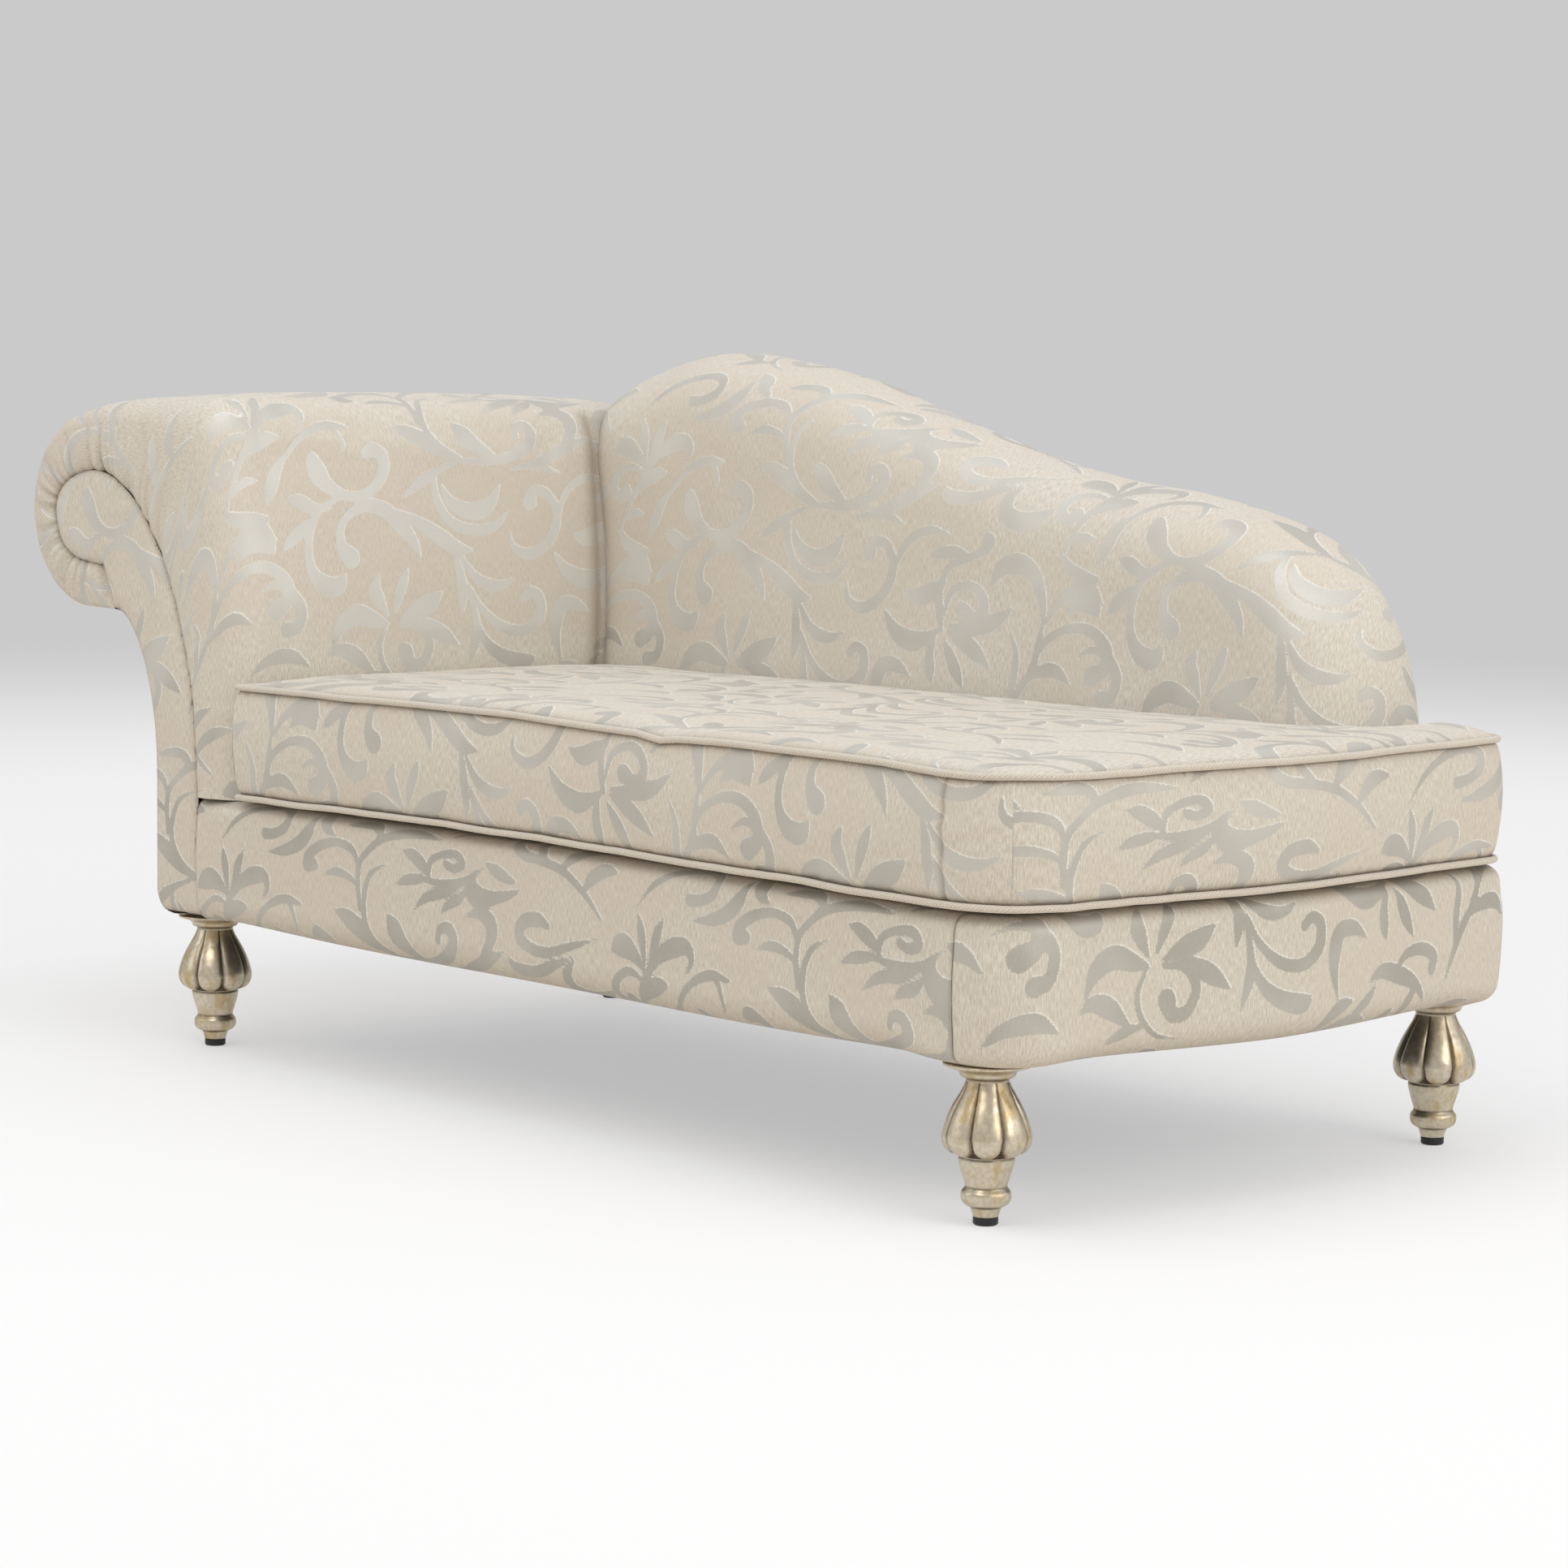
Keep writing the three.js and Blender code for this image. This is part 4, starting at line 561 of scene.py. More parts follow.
def damask():
    s = Surface("damask_cover", Sheen_Weight=0.15, Sheen_Roughness=0.4, Sheen_Tint=tone(255, 248, 240),
                Specular_IOR_Level=0.55)
    jag = s.grain(s.cloth(), 520.0, 1.0)
    ragged = s.math("ADD", s.value("figure"), s.step(jag, 0.3, 0.7, -0.7, 0.7))
    figure = s.step(ragged, -0.5, 0.6, 1.0, 0.0)
    rim_near = s.math("ADD", s.value("rim"), s.step(jag, 0.3, 0.7, -0.6, 0.6))
    rim = s.math("MULTIPLY", s.step(rim_near, -0.5, 0.5, 1.0, 0.0), s.math("SUBTRACT", 1.0, figure))
    slub = s.grain(s.cloth(1.0, 0.16), 700.0, 3.0, 0.6)
    fleck = s.grain(s.cloth(1.0, 0.5), 1500.0, 2.0, 0.6)
    drift = s.grain(s.place(), 6.0, 3.0)
    ground = s.blend(s.step(slub, 0.3, 0.7), tone(192, 185, 171), tone(224, 219, 208))
    ground = s.blend(s.step(fleck, 0.35, 0.7, 0.0, 0.45), ground, tone(208, 202, 189))
    ground = s.blend(s.step(drift, 0.35, 0.65, 0.0, 0.4), ground, tone(208, 197, 182))
    shine, corner_sheen_and_shade = painted_satin_sheen(s)
    # Painted shade: the ground turns darker and warmer on the arm's inner face and beside it on the back.
    ground = s.blend(s.math("MULTIPLY", corner_sheen_and_shade, 0.4), ground, tone(202, 189, 172))
    # The satin without and with its painted sheen; the painted sheen mask blends between them.
    dull = s.blend(s.step(fleck, 0.35, 0.7), tone(163, 159, 148), tone(174, 169, 158))
    bright = s.blend(s.step(fleck, 0.35, 0.7), tone(207, 205, 198), tone(218, 216, 209))
    satin = s.blend(shine, dull, bright)
    satin = s.blend(s.step(slub, 0.45, 0.75, 0.0, 0.25), satin, tone(204, 199, 188))
    colour = s.blend(figure, ground, satin)
    colour = s.blend(s.math("MULTIPLY", rim, 0.85), colour, tone(230, 231, 226))
    # Painted shade: the colour is multiplied towards a dark brown where the covers carry painted shade, in creases,
    # seams, crevices and low corners.
    colour = s.shaded(colour, s.value("painted_shade"), tone(168, 152, 134))
    s.set({"Base Color": colour, "Roughness": s.step(figure, 0.0, 1.0, 0.95, 0.5),
           "Metallic": s.math("MULTIPLY", figure, s.step(corner_sheen_and_shade, 0.0, 1.0, 0.3, 0.08))})
    height = s.math("SUBTRACT", slub, s.math("MULTIPLY", figure, 0.6))
    s.relief(s.math("ADD", height, s.math("MULTIPLY", fleck, 0.6)), 0.5, 0.0007)
    return s.material


DAMASK = damask()

# %% [markdown]
# ## The other finishes
#
# The welts are cut from the same cloth on the bias, so they show its yarns as slanting ribs. The feet are
# gilded with a warm silver leaf over a dark ground, which is rubbed through on the high spots and left
# dark in the carving. The frame is beech, the seat is held up by jute webbing, and black cloth closes
# the underside.

# %% Welts, feet and frame
def welt_cloth():
    s = Surface("piping_cloth", Roughness=0.92, Sheen_Weight=0.3, Sheen_Roughness=0.4)
    rib = s.put("ShaderNodeTexWave", {"Vector": s.cloth(1.0, 1.6), "Scale": 130.0, "Distortion": 2.5,
                                      "Detail": 2.0}, 1, wave_type="BANDS", bands_direction="DIAGONAL")
    slub = s.grain(s.cloth(), 300.0, 3.0, 0.6)
    colour = s.blend(s.step(rib, 0.2, 0.8), tone(196, 187, 171), tone(219, 211, 197))
    colour = s.blend(s.step(slub, 0.45, 0.62, 0.0, 0.8), colour, tone(203, 197, 186))
    s.set({"Base Color": colour})
    s.relief(s.math("ADD", rib, slub), 0.5, 0.0006)
    return s.material


def silver_leaf():
    s = Surface("silver_leaf", Metallic=0.88)
    worn = s.grain(s.place(1.0, 1.0, 0.5), 46.0, 5.0, 0.65)
    fine = s.grain(s.place(), 190.0, 4.0, 0.6)
    leaf = s.blend(s.step(fine, 0.3, 0.7), tone(196, 184, 160), tone(214, 204, 184))
    leaf = s.blend(s.step(worn, 0.5, 0.62), leaf, tone(196, 176, 137))
    leaf = s.blend(s.step(worn, 0.62, 0.72, 0.0, 0.6), leaf, tone(146, 124, 90))
    dark = s.math("MULTIPLY", s.value("groove"), s.step(fine, 0.2, 0.6, 0.75, 1.0))
    leaf = s.blend(dark, leaf, tone(74, 62, 48))
    s.set({"Base Color": leaf, "Roughness": s.step(worn, 0.35, 0.7, 0.3, 0.45)})
    s.relief(s.math("ADD", worn, s.math("MULTIPLY", fine, 0.3)), 0.2, 0.0005)
    return s.material


def streaked(name, first, second, along, across, roughness=0.6):
    """A plain material with streaks along its length."""
    s = Surface(name, Roughness=roughness)
    streak = s.grain(s.place(*along), across, 4.0, 0.6)
    s.set({"Base Color": s.blend(s.step(streak, 0.35, 0.65), first, second)})
    s.relief(streak, 0.2, 0.0005)
    return s.material


def woven(name, first, second, scale):
    """A coarse plain weave, two sets of crossed threads."""
    s = Surface(name, Roughness=0.95)
    across = s.put("ShaderNodeTexWave", {"Vector": s.place(), "Scale": scale, "Distortion": 1.0, "Detail": 1.0},
                   1, wave_type="BANDS", bands_direction="X")
    length = s.put("ShaderNodeTexWave", {"Vector": s.place(), "Scale": scale, "Distortion": 1.0, "Detail": 1.0},
                   1, wave_type="BANDS", bands_direction="Y")
    thread = s.math("MAXIMUM", across, length)
    fuzz = s.grain(s.place(), 260.0, 3.0)
    colour = s.blend(s.step(thread, 0.3, 0.9), first, second)
    s.set({"Base Color": s.blend(s.step(fuzz, 0.3, 0.7, 0.0, 0.4), colour, first)})
    s.relief(thread, 0.5, 0.0006)
    return s.material


def plain(name, first, second, scale, **shader):
    """A smooth material with a faint unevenness."""
    s = Surface(name, **shader)
    cloud = s.grain(s.place(), scale, 3.0)
    s.set({"Base Color": s.blend(s.step(cloud, 0.3, 0.7), first, second)})
    s.relief(cloud, 0.1, 0.0003)
    return s.material


WELT = welt_cloth()
LEAF = silver_leaf()
FINISHES = {
    "beech": streaked("beech", tone(196, 158, 112), tone(214, 178, 132), (14.0, 14.0, 1.5), 12.0),
    "jute_webbing": woven("jute_webbing", tone(150, 122, 84), tone(186, 156, 112), 380.0),
    "black_cloth": woven("black_cloth", tone(24, 23, 23), tone(44, 42, 41), 520.0),
    "black_nylon": plain("black_nylon", tone(26, 26, 27), tone(34, 34, 35), 240.0, Roughness=0.5),
    "zinc_steel": plain("zinc_steel", tone(176, 179, 182), tone(196, 198, 200), 90.0, Roughness=0.35,
                        Metallic=0.9),
}
print("finishes:", sorted([*FINISHES, DAMASK.name, WELT.name, LEAF.name]))

# %% [markdown]
# ## Stretching the cloth
#
# A padded face is never quite smooth: the cover is pulled over soft stuffing and held at its seams. Each
# large face is therefore run as a cloth for a moment, a little bigger than the room it fills, pinned at
# its seams and pushed out from inside. The settled folds are kept and capped, then the surface is made
# finer.

# %% Settling a face
def depth_in(net):
    """Lengths up and across a net, and how far each point stands inside its rim."""
    up, over = (np.linalg.norm(np.diff(net, axis=a), axis=-1) for a in (0, 1))
    up = np.vstack([np.zeros((1, net.shape[1])), np.cumsum(up, axis=0)])
    over = np.hstack([np.zeros((net.shape[0], 1)), np.cumsum(over, axis=1)])
    return up, over, np.minimum(np.minimum(up, up[-1] - up), np.minimum(over, over[:, -1:] - over))


def settled(name, grid, push, slack, cap, fade, frames=20):
    """A face's grid after its cloth has settled between pinned edges, blended in over the fade."""
    rows, columns = grid.shape[:2]
    faces = grid_faces(rows, columns)
    a, b = np.gradient(grid, axis=0), np.gradient(grid, axis=1)
    facing = np.cross(a, b)
    mesh = as_mesh(name, grid.reshape(-1, 3), faces.ravel(), np.full(len(faces), 4))
    piece = bpy.data.objects.new(name, mesh)
    bpy.context.scene.collection.objects.link(piece)
    held = piece.vertex_groups.new(name="held")
    index = np.arange(rows * columns).reshape(rows, columns)
    rim = np.concatenate([index[0], index[-1], index[:, 0], index[:, -1]])
    held.add([int(i) for i in np.unique(rim)], 1.0, "REPLACE")
    cloth = piece.modifiers.new("cloth", "CLOTH")
    s = cloth.settings
    s.quality, s.mass, s.vertex_group_mass = 6, 0.3, "held"
    s.tension_stiffness = s.compression_stiffness = 25.0
    s.shear_stiffness, s.bending_stiffness, s.air_damping = 15.0, 1.2, 4.0
    s.use_pressure, s.uniform_pressure_force, s.shrink_min = True, push, -slack
    s.effector_weights.gravity = 0.0
    cloth.collision_settings.use_collision = False
    cloth.point_cache.frame_start, cloth.point_cache.frame_end = 1, frames
    for frame_number in range(1, frames + 1):
        bpy.context.scene.frame_set(frame_number)
    shown = piece.evaluated_get(bpy.context.evaluated_depsgraph_get())
    spots = np.zeros(rows * columns * 3, np.float32)
    shown.data.vertices.foreach_get("co", spots)
    bpy.data.objects.remove(piece)
    bpy.data.meshes.remove(mesh)
    moved = (spots.reshape(rows, columns, 3) - HOME) / MM - grid
    reach = np.linalg.norm(moved, axis=-1, keepdims=True)
    moved *= cap * np.tanh(reach / cap) / np.maximum(reach, 1e-6)
    moved *= 1 - np.exp(-((depth_in(grid)[2] / fade) ** 2))[..., None]
    out = np.sum(moved * facing, axis=-1).mean()
    print(name, "settled, moved by", round(float(reach.mean()), 1), "mm, out" if out > 0 else "mm, in")
    return grid + moved


# %% [markdown]
# ## The seat base
#
# Three borders are pulled over the rails: along the front, round the open end with both of its corners,
# and along the back. They meet at seams that pull in a little. Below, each border rolls under the rail
# between the feet and sags slightly, as webbing and stuffing do.

# %% The base's plan and section
def with_normals(line):
    way = np.gradient(line, axis=0)
    way /= np.linalg.norm(way, axis=1, keepdims=True)
    return np.stack([way[:, 1], -way[:, 0]], axis=1)


def base_front(count=380):
    s = np.linspace(0, 1, count)
    return np.stack([mix(FRONT_SEAM_X, 0, s), mix(2, -48, s) + 18 * np.sin(np.pi * s) ** 2], 1)


def arc(cx, cy, rx, ry, start, end, count):
    a = np.radians(np.linspace(start, end, count))
    return np.stack([cx + rx * np.cos(a), cy + ry * np.sin(a)], 1)


def base_end():
    s = np.linspace(0, 1, 190)[1:-1]
    side = np.stack([END_FACE_X + 23 * np.sin(np.pi * s) ** 2, mix(27, 675, s)], 1)
    return np.concatenate([arc(0, 27, 75, 75, -90, 0, 36), side, arc(25, 675, 50, 50, 0, 90, 24)])


def base_rear():
    return np.stack([np.linspace(25, ARM_FACE_X, 300), np.full(300, REAR_FACE_Y)], 1)


def base_section(radius):
    """Distance in from the face and height, with a given roll at the lower edge."""
    lower = arc(radius, BASE_BOTTOM + radius, radius, radius, 270, 180, 15)
    side = np.stack([np.zeros(27), np.linspace(BASE_BOTTOM + radius, BASE_TOP - 16, 29)[1:-1]], 1)
    upper = arc(16, BASE_TOP - 16, 16, 16, 180, 90, 8)
    under = np.stack([np.linspace(58, radius, 8)[:-1], np.full(7, BASE_BOTTOM)], 1)
    over = np.stack([np.linspace(16, 44, 8)[1:], np.full(7, BASE_TOP)], 1)
    return np.concatenate([under, lower, side, upper, over])


FOOT_SPOTS = np.array([[0.0, 0.0], [-1365.0, 55.0], [0.0, 687.0], [-1365.0, 687.0]])


def border(line, way, seams, cloth_start, sag):
    """One border of the base as a grid along its line and up its section."""
    near_foot = np.min([np.hypot(*(line - spot).T) for spot in FOOT_SPOTS], axis=0)
    on_foot = np.exp(-((near_foot / 85.0) ** 4))
    section = mix(base_section(32)[:, None], base_section(13)[:, None], on_foot[None, :, None])
    height = section[..., 1]
    up = np.clip((height - BASE_BOTTOM) / (BASE_TOP - BASE_BOTTOM), 0, 1)
    run = along(line)
    drop = sag * (1 - np.exp(-((near_foot / 260.0) ** 2))) + 1.4 * on_foot
    belly = 5.0 * np.sin(np.pi * up).clip(0) ** 0.8
    tuck = sum(bump(run, seam * run[-1], 2.2) for seam in seams)
    grid = np.zeros((*height.shape, 3))
    out = belly - section[..., 0] - 1.6 * tuck[None, :] * np.clip(8 * up * (1 - up), 0, 1)
    grid[..., :2] = line[None] + way[None] * out[..., None]
    grid[..., 2] = height - np.clip(1 - up * 2.2, 0, 1) ** 1.3 * drop[None, :]
    place = np.stack(np.broadcast_arrays(run[None, :], along(base_section(32))[:, None]), -1) + cloth_start
    # Painted shadow: the base's top roll darkens where the cushion's shadow falls, fading under the cushion but for
    # a band at its inner edge; the seam tucks get painted shade too.
    under_cushion = np.clip((section[..., 0] - 16) / 12, 0, 1) * (up > 0.99)
    shade = 0.6 * np.clip((up - 0.93) / 0.07, 0, 1) * (1 - 0.9 * under_cushion)
    shade += 0.5 * bump(section[..., 0], 44, 5) * under_cushion
    return grid, place, 0.45 * tuck[None] + shade


def rumpled(grid, outward, strength, seed, across=1.0):
    """A grid with the slight unevenness of stuffing under cloth."""
    lumps = 0.7 * noise(grid, 95.0, seed) + 0.35 * noise(grid, 38.0, seed + 1) + 0.12 * noise(grid, 15.0, seed + 2)
    return grid + outward * (strength * lumps * across)[..., None]


def base_piece(name, line, seams, cloth_start, sag, seed, panel):
    way = with_normals(line)
    grid, place, dark = border(line, way, seams, cloth_start, sag)
    rows, columns = grid.shape[:2]
    face = slice(14, rows - 12)
    coarse = finer(finer(grid[face], 0, 14), 1, max(columns // 3, 30))
    moved = settled(name + "_cloth", coarse, 3.0, 0.01, 3.5, 26.0) - coarse
    grid[face] += finer(finer(moved, 0, rows - 26), 1, columns)
    side = np.concatenate([way, np.zeros((columns, 1))], 1)[None]
    up = np.clip((grid[..., 2] - BASE_BOTTOM) / (BASE_TOP - BASE_BOTTOM), 0, 1)
    grid = rumpled(grid, side, 1.3, seed, np.sin(np.pi * up) ** 0.5 * 1.0 + 0.2)
    run = place[..., 0] - cloth_start[0]
    pucker = 0.8 * np.sin(run / 9.0 + 3 * noise(grid, 60.0, seed + 5)) * np.exp(-(1 - up) * 9) * noise(
        grid, 80.0, seed + 6).clip(0)
    grid = grid + side * pucker[..., None]
    piece = cover(name, [patch(grid, side, place, dark)], DAMASK)
    finish_pad(piece, "frame", panel)
    return piece


def finish_pad(piece, body, *nodes, fill=0.9):
    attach(piece, body)
    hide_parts(*nodes)


base_piece("base_front_cover", base_front(), [0, 1], np.array([0.0, 210.0]), 9.0, 11, "base_front_panel")
base_piece("base_end_cover", base_end(), [0, 1], np.array([9.0, -80.0]), 5.0, 21, "base_end_panel")
base_piece("base_rear_cover", base_rear(), [0, 1], np.array([150.0, 330.0]), 7.0, 31, "base_rear_panel")

# %% [markdown]
# ## The loose cushion
#
# The cushion is boxed: a shaped top and bottom joined by a band, with a welt in each seam. Its plan
# follows the base, and its inner side is notched round the rounded end of the back. The filling lifts
# the middle of the top, and the seams wander a little, as hand-closed seams do.

# %% The cushion's plan
FIT = 9.0


def cushion_plan():
    """Front, right, rear and left sides as lines of matched points."""
    front_all = base_front(1200)
    front_all = front_all + 6.5 * with_normals(front_all)
    corner = arc(0, 27, 81.5, 81.5, -88, -45, 14)
    front_all = np.concatenate([front_all, corner])
    keep = front_all[front_all[:, 0] > ARM_INNER_X + FIT]
    side = np.linspace(0, 1, 190)[1:-1]
    side = np.stack([END_FACE_X + 6.5 + 23 * np.sin(np.pi * side) ** 2, mix(27, 660, side)], 1)
    right = np.concatenate([arc(0, 27, 81.5, 81.5, -45, 0, 16), side, arc(36.5, 660, 45, 45, 0, 45, 10)])
    behind = np.concatenate([arc(36.5, 660, 45, 45, 45, 90, 10), arc(0, 691, 14, 14, 90, 180, 8), [[-14.0, 650.0]]])
    around = arc(-103, 650, 89, 109, 0, -90, 60)
    rear_x = np.linspace(ARM_INNER_X + FIT, -103, 300)
    seat = np.stack([rear_x, np.full(300, 541.0)], 1)
    cuts = (-145.0, -14.0)
    parts = [keep[keep[:, 0] <= cuts[0]], keep[(keep[:, 0] >= cuts[0]) & (keep[:, 0] <= cuts[1])],
             keep[keep[:, 0] >= cuts[1]]]
    for k, x in enumerate(cuts):
        y = np.interp(x, keep[:, 0], keep[:, 1])
        parts[k], parts[k + 1] = np.vstack([parts[k], [x, y]]), np.vstack([[x, y], parts[k + 1]])
    counts = (301, 43, 35)
    front = [evenly(part, n) for part, n in zip(parts, counts)]
    rear = [evenly(part, n) for part, n in zip((seat, around[::-1], behind[::-1]), counts)]
    front, rear = (np.concatenate([a[0], a[1][1:], a[2][1:]]) for a in (front, rear))
    right = evenly(right, 210)
    right[0], right[-1], rear[-1] = front[-1], right[-1], right[-1]
    left = evenly(np.array([front[0], rear[0]]), 210)
    return front, right, rear, left


def net_inside(front, right, rear, left):
    """An even net between four sides."""
    u = np.linspace(0, 1, len(front))[None, :, None]
    v = np.linspace(0, 1, len(right))[:, None, None]
    ruled = mix(front[None], rear[None], v) + mix(left[:, None], right[:, None], u)
    return ruled - mix(mix(front[0], front[-1], u), mix(rear[0], rear[-1], u), v)


front, right, rear, left = cushion_plan()
SIDES = {"front": front, "right": right, "rear": rear[::-1], "left": left[::-1]}
print("the cushion's sides:", {k: round(float(along(v)[-1])) for k, v in SIDES.items()})

# %% How the seams wander
TOP_WANDER = np.array([
    (-1257, 1.2), (-1191, 2), (-1101, 3), (-966, 4.4), (-819, 4.2), (-712, 5), (-596, 2.3), (-500, 0.8),
    (-460, -3.4), (-430, 0.2), (-412, 1), (-295, 2.6), (-170, 3), (-99, 3.3), (-21, 0), (100, 0),
])
LOW_WANDER = np.array([
    (-1215, -2.5), (-1066, 0), (-921, 0.5), (-843, 1.3), (-718, 0.5), (-577, 0.7), (-505, -0.7), (-425, -0.2),
    (-342, -0.3), (-266, 0), (-217, 0.3), (-154, -0.8), (-92, -0.8), (-23, -0.5), (100, 0),
])


def seam_height(spots, top):
    """The height of a seam at places in plan."""
    marks = TOP_WANDER if top else LOW_WANDER
    at_front = np.exp(-((np.maximum(spots[..., 1] + 45, 0) / 90.0) ** 2))
    told = np.interp(spots[..., 0], marks[:, 0], marks[:, 1]) * at_front
    small = 0.9 * noise(spots, 85.0, 5 + top) + 0.35 * noise(spots, 28.0, 8 + top)
    loose = 1.8 * noise(spots, 260.0, 12 + top) * (1 - at_front)
    return (SEAM_HIGH if top else SEAM_LOW) + told + small + loose


def loop_of(sides):
    return np.concatenate([sides[k][:-1] for k in ("front", "right", "rear", "left")])


LOOP = loop_of(SIDES)
closed = np.concatenate([LOOP[-3:], LOOP, LOOP[:3]])
LOOP_OUT = with_normals(closed)[3:-3]
OUT_AT = {tuple(np.round(p, 3)): n for p, n in zip(LOOP, LOOP_OUT)}


def out_of(line):
    return np.array([OUT_AT[tuple(np.round(p, 3))] for p in line])


# %% The cushion's top, with its crown and its pulls
def crown(net, low_share=1.0):
    """How far each point of a net stands inside the four sides, as a rise towards the middle."""
    rows, columns = net.shape[:2]
    up, over, depth_inside = depth_in(net)
    rise = 1.0
    for depth in (up, up[-1] - up, over, over[:, -1:] - over):
        rise = rise * (1 - np.exp(-depth / (24.0 * low_share)))
    u, v = np.linspace(0, 1, columns)[None], np.linspace(0, 1, rows)[:, None]
    return rise, np.sqrt(np.sin(np.pi * u).clip(0) * np.sin(np.pi * v).clip(0)), depth_inside


def cushion_top():
    ins = 3.6
    lines = [side - ins * out_of(side) for side in (front, right, rear, left)]
    lines[1][0], lines[1][-1] = lines[0][-1], lines[2][-1]
    lines[3][0], lines[3][-1] = lines[0][0], lines[2][0]
    net = net_inside(*lines)
    rise, dome, depth = crown(net)
    base = net_inside(*[seam_height(side, True)[:, None] for side in (front, right, rear, left)])[..., 0]
    grid = np.concatenate([net, (base + 0.6 + 19.0 * rise + 6.0 * dome)[..., None]], -1)
    coarse = finer(finer(grid, 0, 56), 1, 118)
    moved = settled("cushion_top_cloth", coarse, 3.0, 0.012, 7.0, 45.0) - coarse
    grid += finer(finer(moved, 0, grid.shape[0]), 1, grid.shape[1])
    pulls = noise(net * np.array([1.0, 0.35]), 34.0, 61) * np.exp(-depth / 34.0) * 1.3 * (1 - np.exp(-depth / 6.0))
    lumps = (1.6 * noise(net, 150.0, 62) + 0.7 * noise(net, 60.0, 63)) * (1 - np.exp(-depth / 30.0))
    grid[..., 2] += pulls + lumps
    return grid, net, depth


top_grid, top_net, top_depth = cushion_top()
top_edge = {"front": top_grid[0], "right": top_grid[:, -1], "rear": top_grid[-1, ::-1], "left": top_grid[::-1, 0]}
up_way = np.array([0.0, 0.0, 1.0])
# The top's edge gets painted shade along the welt.
pieces = [patch(top_grid, up_way, top_net + np.array([60.0, 250.0]), 0.7 * np.exp(-top_depth / 3.0))]


# %% The cushion's band and underside
def boxing(name, edge, seams, cloth_start):
    line = SIDES[name]
    way = out_of(line)
    run = along(line)
    low, high = seam_height(line, False), seam_height(line, True)
    t = np.linspace(0, 1, 38)[:, None]
    seam_in = -4.2 * (np.exp(-t * 126 / 4.0) + np.exp(-(1 - t) * 126 / 4.0))
    bulge = 7.0 * np.sin(np.pi * t) ** 0.9
    tuck = sum((bump(run, s, 3.2) for s in seams), np.zeros(len(run)))
    pinch = sum((np.exp(-np.abs(run - s) / 24.0) for s in seams), np.zeros(len(run)))
    crimp = pinch * np.sin(np.pi * t) * 1.6 * np.sin(t * 21 + 2.5 * noise(line, 30.0, 71)[None])
    pucker = 1.0 * noise(np.stack(np.broadcast_arrays(run[None] * 3.2, t * 70), -1), 30.0, 72) * (
        np.exp(-t * 7) + np.exp(-(1 - t) * 7))
    lumps = 1.8 * noise(np.stack(np.broadcast_arrays(run[None], t * 90), -1), 95.0, 73) * np.sin(np.pi * t)
    out = seam_in + bulge - 1.8 * tuck * np.sin(np.pi * t) ** 0.3 + crimp + pucker + lumps
    grid = np.zeros((38, len(line), 3))
    grid[..., :2] = line[None] + way[None] * out[..., None]
    grid[..., 2] = mix(low + 3.0, high - 3.0, t)
    grid = np.concatenate([grid, edge[None]])
    place = np.stack(np.broadcast_arrays(run[None], t * 126.0), -1)
    place = np.concatenate([place, place[-1:] + (0, 4.0)]) + cloth_start
    # Painted shade along both welt seams and in the corner tucks; the last row, under the welt, is fully shaded.
    dark = 0.85 * np.exp(-np.minimum(t, 1 - t) * 126 / 3.0) + 0.5 * tuck[None]
    dark = np.concatenate([np.clip(dark, 0, 1), np.ones((1, len(line)))])
    side = np.concatenate([np.tile(way, (39, 1, 1)), np.zeros((39, len(line), 1))], -1)
    return patch(grid, side, place, dark), grid[0]


starts = {"front": (688.0, 53.0), "right": (271.0, 282.0), "rear": (20.0, 300.0), "left": (500.0, 200.0)}
front_run = along(SIDES["front"])
corner_seam = float(np.interp(-10.0, SIDES["front"][:, 0], front_run))
low_edge = {}
for side_name, start in starts.items():
    seams = {"front": [corner_seam], "right": [], "rear": [120.0], "left": []}[side_name]
    band, low_edge[side_name] = boxing(side_name, top_edge[side_name], seams, np.array(start))
    pieces.append(band)

under = [low_edge["front"], low_edge["right"], low_edge["rear"][::-1], low_edge["left"][::-1]]
under = [line.copy() for line in under]
net = net_inside(*under)
under_rise, _, under_depth = crown(net[..., :2])
net[..., 2] = net[..., 2] * (1 - under_rise) + (308.9 + 1.2 * noise(net[..., :2], 120.0, 81)) * under_rise
# Painted shade darkens the underside's edge by the lower welt.
pieces.append(patch(net, -up_way, net[..., :2] + 300.0, 0.8 * np.exp(-under_depth / 3.5)))
seat_cushion = cover("seat_cushion_cover", pieces, DAMASK)
finish_pad(seat_cushion, "cushion", "seat_cushion", fill=0.75)

# %% [markdown]
# ## The welts
#
# A welt is a cord sewn into a strip of the cloth. Geometry nodes sweep a round section along each seam
# and keep the length along the welt, so that its slanting yarns can follow it round the corners.

